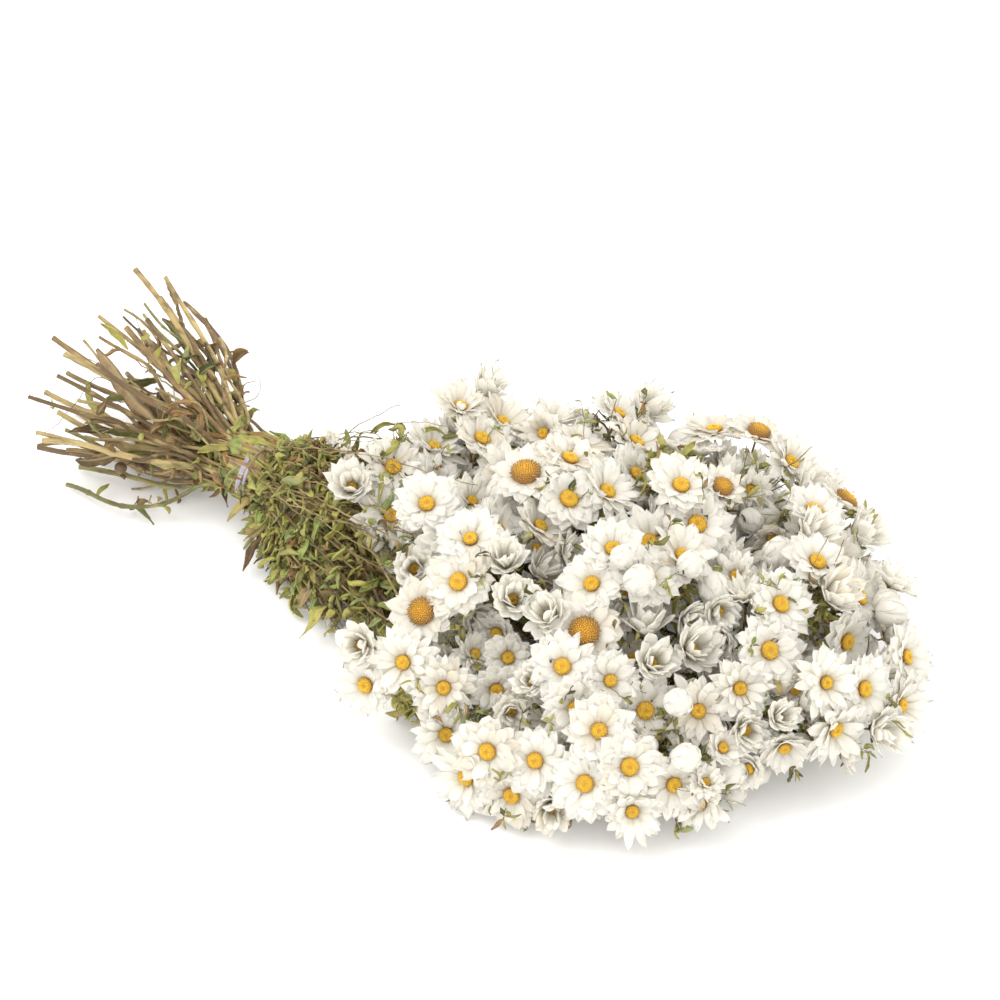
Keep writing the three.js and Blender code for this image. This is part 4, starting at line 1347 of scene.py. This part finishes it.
def leaf_on(skin, rng, line, at, least=5, most=13, own=None):
    """A small curled leaf at one of the points of a stem's line."""
    along = unit(line[min(at + 1, len(line) - 1)] - line[max(at - 1, 0)])
    away = rng.normal(size=3)
    away = unit(away - (away @ along) * along)
    if line[at][2] < 8:
        away[2] = abs(away[2])
    direction = unit(along * rng.uniform(-0.3, 1.2) + away)
    length = rng.uniform(least, most)
    droop = -0.3 * length * rng.uniform(0, 1)
    root = line[at] + away * 0.6
    hook = rng.normal(0, 0.14 * length, 3)
    ribs = [root, root + direction * 0.35 * length + (0, 0, 0.06 * length),
            root + direction * 0.7 * length + 0.3 * hook + (0, 0, 0.3 * droop),
            root + direction * 0.95 * length + 1.5 * hook + (0, 0, droop)]
    if over_disc(ribs) or max(rib[2] for rib in ribs) > HIGHEST:
        return
    upper = unit(np.cross(direction, np.cross(rng.normal(size=3) + (0, 0, 0.8), direction)))
    curled_leaf(skin, rng, ribs, length * rng.uniform(0.28, 0.55), upper, own)


def twig(skin, rng, points, radius, own=None, crook=0.35):
    """A thin stalk or hair through a few points of the plan; gives back the line it takes."""
    line = dense(np.asarray(points, float) + SHIFT, 2.5)
    count = len(line)
    sway = np.cumsum(rng.normal(0, crook, (count, 3)), axis=0)
    line = line + sway - np.linspace(0, 1, count)[:, None] * sway[-1]
    radii = radius * np.linspace(1, 0.6, count) * (1 + 0.08 * rng.normal(size=count))
    skin.tube(line, radii, 6, rng.uniform() if own is None else own)
    return line


BARE_ARC = (155, 168)  # degrees round the bundle between which the band shows


def round_band(angle, x, out=0.0):
    """A place on the bundle beside the band, by the angle round it."""
    return np.array((x, (14.5 + out) * math.cos(angle), TIE_HEIGHT + (10.5 + out) * math.sin(angle)))


def is_bare(angle):
    """Whether the band shows at that angle round it."""
    return BARE_ARC[0] < math.degrees(angle) < BARE_ARC[1]


# Where the lowest leafy shoots end: they hang from the bundle and lie on the surface.
LOW_TIPS = ((15, -22, 3), (29, -30, 3), (47, -46, 3), (58, -54, 4), (77, -62, 5), (96, -69, 6), (108, -73, 8),
            (124, -76, 10))
FAR_TIPS = ((20, 30, 8), (46, 40, 5), (72, 52, 5), (96, 58, 8), (118, 62, 12))


def shoot_ends(rng):
    """Where the leafy shoots leave the band, and where each ends."""
    low, far = sizes().low_shoots, sizes().far_shoots
    for tips, first, last, count in ((LOW_TIPS, 165, 250, low), (FAR_TIPS, -60, 20, far)):
        for n in range(count):
            share = rng.uniform()
            tip = spline(tips, share)
            tip[1] *= rng.uniform(0.5, 1.0) if n >= len(tips) else 1.0
            tip = tip + (rng.normal(0, 3), 0, rng.uniform(0, 18) * (n >= len(tips)))
            yield math.radians(mix(first, last, rng.uniform())), tip
    for _ in range(sizes().upright_shoots):
        angle = math.radians(rng.uniform(25, 165))
        reach = rng.uniform(45, 125)
        yield angle, np.array((reach, 0.34 * reach * math.cos(angle), 38 + 0.20 * reach * math.sin(angle)))


class DAISY_OT_shoots(bpy.types.Operator):
    """Make the leafy side shoots that spread out from the band, some lying on the surface"""

    bl_idname = "daisy.shoots"
    bl_label = "Leafy shoots"

    def execute(self, context):
        rng = random_for("shoots")
        stems, leaves = Skin(), (Skin(), Skin())
        for n, (angle, tip) in enumerate(shoot_ends(rng)):
            start = round_band(angle, rng.uniform(2, 8), -1)
            middle = mix(start, tip, 0.5) + (0, 0.10 * (tip[1] - start[1]), 4 + rng.normal(0, 2))
            line = twig(stems, rng, [start, middle, tip], rng.uniform(0.4, 0.75))
            for at in rng.integers(1, len(line), sizes().shoot_leaves):
                leaf_on(leaves[n % 2], rng, line, int(at), 4.5, rng.choice((10, 12, 17)))
        stems.piece("side_shoots", straw_stem)
        leaf_pieces("side_leaves", leaves)
        return {"FINISHED"}


# Leaves that stand out: four points of the plan, width, and the number that picks the colour.
MARKED_LEAVES = (
    (((-11, 9, 47), (-9.5, 2, 48), (-8.5, -5, 47), (-7, -11, 44)), 13, 0.66),  # lime, over the band
    (((-14, -6, 46), (-20, -9, 47), (-26, -12, 45), (-30, -13, 42)), 7, 0.44),
    (((-13, -9, 42), (-14, -12, 40), (-13, -15, 37), (-12, -17, 33)), 9, 0.58),
    (((-25, 29, 38), (-22, 20, 43), (-20, 11, 48), (-19, 3, 48)), 7, 0.25),
    (((-2, -13, 44), (-5, -16, 41), (-7, -18, 36), (-9, -20, 26)), 7, 0.60),
    (((9, -10, 44), (7, -13, 42), (5, -16, 38), (2, -19, 29)), 7, 0.28),
    (((-58, -10, 50), (-76, -4, 54), (-92, 5, 58), (-106, 8, 68)), 15, 0.86),  # broad, tan
    (((-70, -30, 36), (-80, -33, 32), (-88, -33, 26), (-97, -31, 22)), 10, 0.99),
    (((-66, -24, 50), (-74, -25, 52), (-82, -27, 53), (-90, -30, 50)), 8, 0.985),
    (((-86, -12, 34), (-92, -20, 36), (-96, -28, 40), (-99, -34, 42)), 8, 0.99),
    (((-104, 33, 50), (-112, 40, 49), (-122, 45, 48), (-132, 48, 46)), 6, 0.42),
    (((-70, 46, 50), (-64, 38, 58), (-60, 30, 66), (-60, 22, 70)), 9, 0.02),
    (((-76, 50, 46), (-84, 56, 48), (-92, 60, 50), (-100, 62, 52)), 9, 0.05),
    (((-48, 36, 60), (-50, 32, 60), (-52, 29, 58), (-55, 27, 55)), 7, 0.0),
    (((-66, 24, 60), (-62, 19, 66), (-58, 13, 69), (-52, 5, 68)), 8, 0.45),
    (((-42, 4, 60), (-44, 0, 63), (-46, -6, 66), (-48, -13, 66)), 6, 0.93),
    (((35, -27, 30), (37, -34, 22), (37, -40, 12), (43, -53, 4)), 6, 0.92),
    (((42, -37, 22), (40, -42, 16), (38, -47, 10), (36, -50, 6)), 9, 0.58),
    (((87, -5, 61), (86, -9, 57), (85, -13, 53), (84, -17, 49)), 6, 0.60),
    (((78, 19, 73), (75, 13, 71), (70, 9, 66), (60, 15, 52)), 6, 0.30),
    (((77, 8, 58), (80, 0, 64), (82, -8, 62), (84, -14, 56)), 5, 0.25),
    (((52, 30, 58), (55, 33, 62), (59, 36, 64), (63, 39, 62)), 4.5, 0.24),
    (((60, 36, 60), (64, 36, 62), (66, 39, 64), (70, 38, 62)), 3.5, 0.05),
    (((74, 38, 60), (79, 40, 64), (84, 44, 65), (90, 45, 62)), 3.5, 0.27),
    (((88, 44, 60), (93, 44, 63), (98, 48, 63), (104, 47, 60)), 3, 0.1),
)
# Stalks and hairs that stand out: points of the plan, radius, and the number that picks the colour.
MARKED_STALKS = (
    (((-4, -18, 28), (10, -23, 31), (22, -23, 32), (39, -22, 42), (48, -18, 49), (57, -15, 59)), 0.6, 0.78),
    (((-49, -14, 63), (-46, 0, 62), (-36, 2, 60), (-24, -8, 50), (-15, -13, 44)), 0.8, 0.72),
    (((-8, 22, 38), (-23, 26, 42), (-31, 35, 45), (-44, 49, 48)), 0.9, 0.30),
    (((-31, 35, 45), (-34, 42, 47), (-28, 44, 51)), 0.35, 0.05),
    (((-90, 4, 52), (-110, 8, 44), (-113, -12, 36), (-112, -28, 34), (-122, -33, 30)), 0.26, 0.05),
    (((-98, 38, 58), (-104, 43, 60), (-111, 49, 62), (-117, 57, 64)), 0.25, 0.1),
    (((-14, 16, 44), (-28, 23, 47), (-21, 31, 50), (-24, 42, 50), (-31, 50, 50)), 0.25, 0.15),
    (((-112, 16, 48), (-126, 14, 50), (-136, 7, 50)), 0.25, 0.6),
    (((28, 16, 44), (37, 26, 52), (44, 34, 60), (51, 43, 64), (57, 54, 62)), 0.35, 0.3),
    (((43, 17, 58), (60, 24, 70), (80, 34, 76), (100, 46, 70)), 0.3, 0.7),
    (((92, -16, 46), (96, -22, 52), (104, -24, 56), (111, -26, 56)), 0.4, 0.8),
    (((88, -10, 50), (93, -16, 56), (99, -14, 58), (104, -20, 58), (98, -24, 54)), 0.35, 0.8),
    (((-44, 28, 56), (-68, 41, 63), (-79, 51, 66), (-88, 60, 68)), 1.7, 0.25),
)


FLAT_END = ((-86, 58, 68), (-92, 64, 69), (-98, 69, 69), (-104, 74, 68))  # of the thickest cut stem
DRIED_TONES = ((0.94, 1.0), (0.94, 1.0), (0.84, 0.93), (0.0, 0.4))  # dark, dark, tan and olive
SEED_HEADS = (((-71, -27, 24), 3.4), ((-60, -24, 26), 2.9))  # place in the plan and radius


class DAISY_OT_marked_leaves(bpy.types.Operator):
    """Make the leaves, dried remains, stray stalks and hairs that stand out one by one"""

    bl_idname = "daisy.marked_leaves"
    bl_label = "Single leaves and stalks"

    def execute(self, context):
        rng = random_for("single leaves")
        stalks, leaves = Skin(), Skin()
        for ribs, width, own in MARKED_LEAVES:
            ribs = np.array(ribs, float) + SHIFT
            upper = unit(OPEN_SIDE + rng.normal(0, 0.25, 3))
            curled_leaf(leaves, rng, ribs, width, upper, own, 0.25)
        for points, radius, own in MARKED_STALKS:
            twig(stalks, rng, points, radius, own)
        curled_leaf(leaves, rng, np.array(FLAT_END, float) + SHIFT, 5.5, OPEN_SIDE, 0.84)
        self.over_band(leaves, stalks, rng)
        self.bent_ends(stalks, leaves, rng)
        self.shrivelled(leaves, rng)
        self.stray_stalks(stalks, leaves, rng)
        self.pods(stalks, rng)
        stalks.piece("stray_stalks", straw_stem)
        leaves.piece("dried_leaves", olive_leaf)
        return {"FINISHED"}

    def over_band(self, leaves, stalks, rng):
        """Leaves and thin stalks that lie over the band, and leave only a short length of it bare."""
        for n in range(sizes().band_leaves):
            angle = math.radians(n * 4.3 + rng.uniform(-3, 3))
            if is_bare(angle):
                continue
            first, last = rng.uniform(-20, -7), rng.uniform(4, 16)
            if rng.uniform() < 0.5:
                first, last = last, first
            turn = rng.uniform(-0.2, 0.2)
            ribs = np.array([round_band(angle + turn * share, mix(first, last, share), out)
                             for share, out in ((0, 1.0), (0.35, 3.4), (0.7, 3.6), (1, 1.6))]) + SHIFT
            upper = unit((0, math.cos(angle), math.sin(angle)) + rng.normal(0, 0.2, 3))
            own = rng.uniform(0.05, 0.75)
            own = own + 0.22 if own > 0.52 else own
            curled_leaf(leaves, rng, ribs, rng.uniform(3.5, 8), upper, own, 1.1)
        for _ in range(sizes().band_stalks):
            angle = rng.uniform(0, 2 * math.pi)
            if is_bare(angle):
                continue
            turn, reach = rng.normal(0, 0.3), rng.uniform(25, 60)
            way = ((-reach, 0.06 * reach), (-8, 3.0), (2, 3.2), (14, 2.4), (reach, 0.12 * reach))
            points = [round_band(angle + turn * (x + 20) / 60, x, out) for x, out in way]
            twig(stalks, rng, points, rng.uniform(0.4, 0.9), crook=0.2)

    def bent_ends(self, stalks, leaves, rng):
        """Thin bent stalks among the cut ends, with dried leaves on some."""
        for _ in range(sizes().bent_ends):
            angle, out = rng.uniform(0, 2 * math.pi), rng.uniform(0.2, 0.9)
            y, up = 13 * out * math.cos(angle), 9 * out * math.sin(angle)
            reach = rng.uniform(35, 105)
            share, fan = reach / CUT_REACH, CUT_FAN * 0.85
            end = np.array((
                -reach,
                mix(y, CUT_SHIFT + y * fan, share) + rng.normal(0, 7),
                max(3, TIE_HEIGHT + up * mix(1, fan, share) + rng.normal(0, 7)),
            ))
            start = np.array((-6, y, TIE_HEIGHT + up))
            middle = mix(start, end, rng.uniform(0.4, 0.6)) + rng.normal(0, 6, 3)
            middle[2] = max(middle[2], 4)
            line = twig(stalks, rng, [start, middle, end], rng.uniform(0.4, 1.0), crook=0.5)
            for at in rng.integers(len(line) // 3, len(line), 2):
                leaf_on(leaves, rng, line, int(at), 5, 13, rng.uniform(0.9, 1.0))

    def shrivelled(self, leaves, rng):
        """Dark dried remains of leaves among the cut ends."""
        for plant in PLANTS:
            for points in plant.stems:
                line = dense(points, STEM_STEP)
                out = SHIFT[0] - line[:, 0]
                bare = np.nonzero((out > 12) & (out < 88))[0]
                for at in rng.choice(bare, sizes().shrivelled_leaves):
                    low, high = DRIED_TONES[rng.integers(len(DRIED_TONES))]
                    leaf_on(leaves, rng, line, int(at), 5, 14, rng.uniform(low, high))

    def stray_stalks(self, stalks, leaves, rng):
        """Thin straw stalks that cross the leafy part aslant, and end among the flowers."""
        for _ in range(sizes().stray_stalks):
            angle = math.radians(rng.uniform(20, 260))
            reach = rng.uniform(60, 150)
            turned = angle + rng.normal(0, 0.9)
            flare = rng.uniform(0.45, 1.05)
            end = np.array((reach, 0.50 * reach * flare * math.cos(turned),
                            max(6, TIE_HEIGHT + 4 + 0.30 * reach * flare * math.sin(turned))))
            start = round_band(angle, rng.uniform(-6, 8), 0.5)
            bulge = rng.uniform(2, 12)
            middle = mix(start, end, rng.uniform(0.3, 0.6))
            middle = middle + (0, bulge * math.cos(angle), bulge * math.sin(angle) + 2)
            middle = middle + rng.normal(0, 3, 3)
            middle[2] = max(middle[2], 3)
            radius, own = rng.uniform(0.3, 0.65), rng.uniform(0.66, 0.84)
            line = twig(stalks, rng, [start, middle, end], radius, own, 0.5)
            for at in rng.integers(2, len(line), 3):
                leaf_on(leaves, rng, line, int(at), 4, 8)

    def pods(self, stalks, rng):
        """Two round dark seed heads under the cut ends."""
        for place, radius in SEED_HEADS:
            t = np.linspace(0, math.pi, 9)
            middle = np.array(place, float) + SHIFT
            line = middle + np.stack([np.cos(t), 0 * t, 0.3 * np.cos(t)], axis=-1) * radius
            stalks.tube(line, radius * np.sin(t) * 0.98 + 0.05, 12, 0.02)
            twig(stalks, rng, [place, (place[0] + 12, place[1] + 9, place[2] + 8)], 0.4, 0.05)


LONE_TIP = 20  # a spent stalk that ends farther than this from every disc is left out
LEAF_TONES = (0.1, 0.3, 0.45, 0.76, 0.88)  # numbers that pick the colours of leaves in the gaps


class DAISY_OT_undergrowth(bpy.types.Operator):
    """Make the small leaves and spent stalks between the flowers"""

    bl_idname = "daisy.undergrowth"
    bl_label = "Leaves between the flowers"

    def execute(self, context):
        rng = random_for("undergrowth")
        stalks, leaves = Skin(), (Skin(), Skin())
        for plant in PLANTS:
            for bloom in plant.blooms:
                line = stalk_line(plant.hub, bloom)
                for at in rng.integers(2, 7, sizes().stalk_leaves):
                    leaf_on(leaves[0], rng, line, int(at), 4, 10, rng.uniform(0, 1) ** 1.5)
            facing = facing_of(plant.i)
            for _ in range(sizes().spent_stalks):
                way = unit(facing + rng.normal(0, 0.55, 3))
                hub = plant.hub - SHIFT
                tip = hub + way * rng.uniform(36, 58)
                tip[2] = np.clip(tip[2], 4, HIGHEST - 6)
                middle = mix(hub, tip, 0.5) + rng.normal(0, 6, 3)
                lone = np.linalg.norm(DISC_PLACES - tip - SHIFT, axis=1).min() > LONE_TIP
                if lone or over_disc([tip + SHIFT]):
                    continue
                line = twig(stalks, rng, [hub, middle, tip], rng.uniform(0.25, 0.5))
                for at in rng.integers(len(line) // 2, len(line), 6):
                    leaf_on(leaves[1], rng, line, int(at), 3, 9, rng.uniform(0, 1) ** 2)
        for middle, radius in GAPS:
            for _ in range(sizes().gap_sprigs):
                foot = middle - 16 * OPEN_SIDE + rng.normal(0, 0.5 * radius, 3)
                tip = middle + 5 * OPEN_SIDE + rng.normal(0, 0.6 * radius, 3)
                foot[2], tip[2] = max(foot[2], 3), np.clip(tip[2], 4, HIGHEST - 6)
                if over_disc([tip + SHIFT]):
                    continue
                line = twig(stalks, rng, [foot, mix(foot, tip, 0.5) + rng.normal(0, 4, 3), tip],
                            rng.uniform(0.3, 0.7))
                for at in rng.integers(len(line) // 3, len(line), 10):
                    leaf_on(leaves[1], rng, line, int(at), 5, 13, rng.choice(LEAF_TONES))
        stalks.piece("spent_stalks", straw_stem)
        leaf_pieces("leaves_between", leaves)
        return {"FINISHED"}


FLORET_KNOTS = ((29, 22, 52), (37, 18, 54), (47, 13, 56), (53, 10, 55))  # along the florets' stalk


class DAISY_OT_florets(bpy.types.Operator):
    """Make the cluster of tiny pale florets near the band"""

    bl_idname = "daisy.florets"
    bl_label = "Tiny florets"

    def execute(self, context):
        rng = random_for("florets")
        petals, stalks = Skin(), Skin()
        twig(stalks, rng, ((4, 10, 42), (18, 18, 48), *FLORET_KNOTS), 0.45, 0.3)
        for _ in range(sizes().tiny_florets):
            on = spline(FLORET_KNOTS, rng.uniform())
            way = unit(OPEN_SIDE + rng.normal(0, 0.6, 3))
            place = on + way * rng.uniform(2, 6)
            twig(stalks, rng, (on, place), 0.18, 0.25, crook=0.1)
            tiny = Bloom(place + SHIFT, way, rng.uniform(2.0, 3.0), "open")
            petal_ring(petals, rng, tiny, 5, 0.8, 0.55, 0.0, age=0.4)
        for place, radius in BUDS:
            if radius < TINY_BUD:
                hung = np.array(place, float)
                start = hung * (0.55, 0.6, 0) + (0, 0, 24)
                line = twig(stalks, rng, (start, mix(start, hung, 0.6) + (0, -4, 3), hung), 0.3, 0.4)
                way = unit(line[-1] - line[-3] + (0, -0.5, 0.8))
                bloom_petals(petals, rng, Bloom(line[-1] - way, way, 1.9 * radius, "half shut"))
        petals.piece("tiny_florets", papery_white_petal)
        stalks.piece("floret_stalks", straw_stem)
        return {"FINISHED"}


BAND_TURNS = 3
BAND_PITCH = 2.1
BAND_INSET = 0.75  # from the outside of the solid band to the middle of the rubber


class DAISY_OT_band(bpy.types.Operator):
    """Make the elastic band round the stems"""

    bl_idname = "daisy.band"
    bl_label = "Elastic band"

    def execute(self, context):
        low, high = (np.array(corner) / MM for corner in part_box("elastic_band"))
        middle = (low + high) / 2
        across, up = (high - low)[1:] / 2 - BAND_INSET
        radius = sizes().band_radius / MM
        skin = Skin()
        t = np.linspace(0, 2 * math.pi, 65)[:-1]
        for turn in range(BAND_TURNS):
            offset = (turn - (BAND_TURNS - 1) / 2) * BAND_PITCH
            ring = np.stack([
                middle[0] + offset + 0.55 * np.sin(t + 1.9 * turn) + 0.25 * np.sin(3 * t + turn),
                middle[1] + across * np.cos(t),
                middle[2] + up * np.sin(t),
            ], axis=-1)
            skin.tube(ring, radius, 10, 0.3 * turn, round_it=True)
        skin.piece("rubber_band", lilac_rubber, ("elastic_band",))
        return {"FINISHED"}


FLOOR_REACH = 6.0
AIM = (134, 26, 50)  # where the camera looks, in the plan
WORLD_COLOUR = (1.0, 0.99, 0.965, 1)
WORLD_STRENGTH = 1.58
LIGHT_AIM = (0.02, 0.0, 0.04)
LIGHT_COLOUR = (1.0, 0.985, 0.96)
# Each light: its name, its place and size in metres, and its power in watts.
LIGHTS = (("key", (-0.6, -0.5, 1.6), 1.2, 12.0), ("fill", (1.4, -1.2, 0.9), 1.5, 7.0))
GAMMA = 1.1


class DAISY_OT_stage(bpy.types.Operator):
    """Make the floor, the light and the camera"""

    bl_idname = "daisy.stage"
    bl_label = "Stage"

    def execute(self, context):
        mesh = bpy.data.meshes.new("floor")
        signs = ((-1, -1), (1, -1), (1, 1), (-1, 1))
        mesh.from_pydata([(x * FLOOR_REACH, y * FLOOR_REACH, 0) for x, y in signs], [], [(0, 1, 2, 3)])
        floor = bpy.data.objects.new("floor", mesh)
        context.collection.objects.link(floor)
        r = Recipe("pale_floor")
        grain = r.noise(r.place((1, 1, 1)), 30.0, 3.0)
        mesh.materials.append(r.finish(r.ramp(grain, (0.3, 0.94), (0.7, 0.96)), 0.85))
        self.light(context)
        self.camera(context)
        return {"FINISHED"}

    def light(self, context):
        world = bpy.data.worlds.new("studio")
        context.scene.world = world
        world.use_nodes = True
        background = world.node_tree.nodes["Background"]
        background.inputs["Color"].default_value = WORLD_COLOUR
        background.inputs["Strength"].default_value = WORLD_STRENGTH
        for name, place, size, power in LIGHTS:
            lamp = bpy.data.lights.new(name, "AREA")
            lamp.size = size
            lamp.energy = power
            lamp.color = LIGHT_COLOUR
            holder = bpy.data.objects.new(name, lamp)
            context.collection.objects.link(holder)
            holder.location = place
            holder.rotation_mode = "QUATERNION"
            holder.rotation_quaternion = (Vector(LIGHT_AIM) - Vector(place)).to_track_quat("-Z", "Y")
        context.scene.view_settings.view_transform = "Standard"
        context.scene.view_settings.gamma = GAMMA

    def camera(self, context):
        aim = Vector(SHIFT + AIM) * MM
        turn, rise = sizes().camera_turn, sizes().camera_rise
        back = Vector((math.sin(turn) * math.cos(rise), -math.cos(turn) * math.cos(rise), math.sin(rise)))
        data = bpy.data.cameras.new("camera")
        data.lens = sizes().camera_lens
        camera = bpy.data.objects.new("camera", data)
        context.collection.objects.link(camera)
        camera.location = aim + back * sizes().camera_distance
        camera.rotation_mode = "QUATERNION"
        camera.rotation_quaternion = (-back).to_track_quat("-Z", "Y")
        context.scene.camera = camera


class DAISY_PT_panel(bpy.types.Panel):
    """Lists the steps that make the bunch"""

    bl_idname = "DAISY_PT_panel"
    bl_label = "Bunch of dried daisies"
    bl_space_type = "VIEW_3D"
    bl_region_type = "UI"
    bl_category = "Daisies"

    def draw(self, context):
        for operator in OPERATORS:
            self.layout.operator(operator.bl_idname)
        for group in (context.scene.daisy_sizes, context.scene.daisy_colours):
            column = self.layout.column()
            for key in group.__annotations__:
                column.prop(group, key)


OPERATORS = (
    DAISY_OT_stage, DAISY_OT_petals, DAISY_OT_discs, DAISY_OT_stalks, DAISY_OT_stems, DAISY_OT_leaves,
    DAISY_OT_loose_stems, DAISY_OT_shoots, DAISY_OT_marked_leaves, DAISY_OT_undergrowth, DAISY_OT_florets,
    DAISY_OT_band,
)
CLASSES = (DaisyColours, DaisySizes, *OPERATORS, DAISY_PT_panel)


def register():
    for cls in CLASSES:
        bpy.utils.register_class(cls)
    bpy.types.Scene.daisy_colours = PointerProperty(type=DaisyColours)
    bpy.types.Scene.daisy_sizes = PointerProperty(type=DaisySizes)


def unregister():
    del bpy.types.Scene.daisy_sizes
    del bpy.types.Scene.daisy_colours
    for cls in reversed(CLASSES):
        bpy.utils.unregister_class(cls)


def main():
    register()
    bpy.ops.daisy.stage()
    bpy.ops.daisy.petals()
    bpy.ops.daisy.discs()
    bpy.ops.daisy.stalks()
    bpy.ops.daisy.stems()
    bpy.ops.daisy.leaves()
    bpy.ops.daisy.loose_stems()
    bpy.ops.daisy.shoots()
    bpy.ops.daisy.marked_leaves()
    bpy.ops.daisy.undergrowth()
    bpy.ops.daisy.florets()
    bpy.ops.daisy.band()
    bpy.context.view_layer.update()


if __name__ == "__main__":
    main()
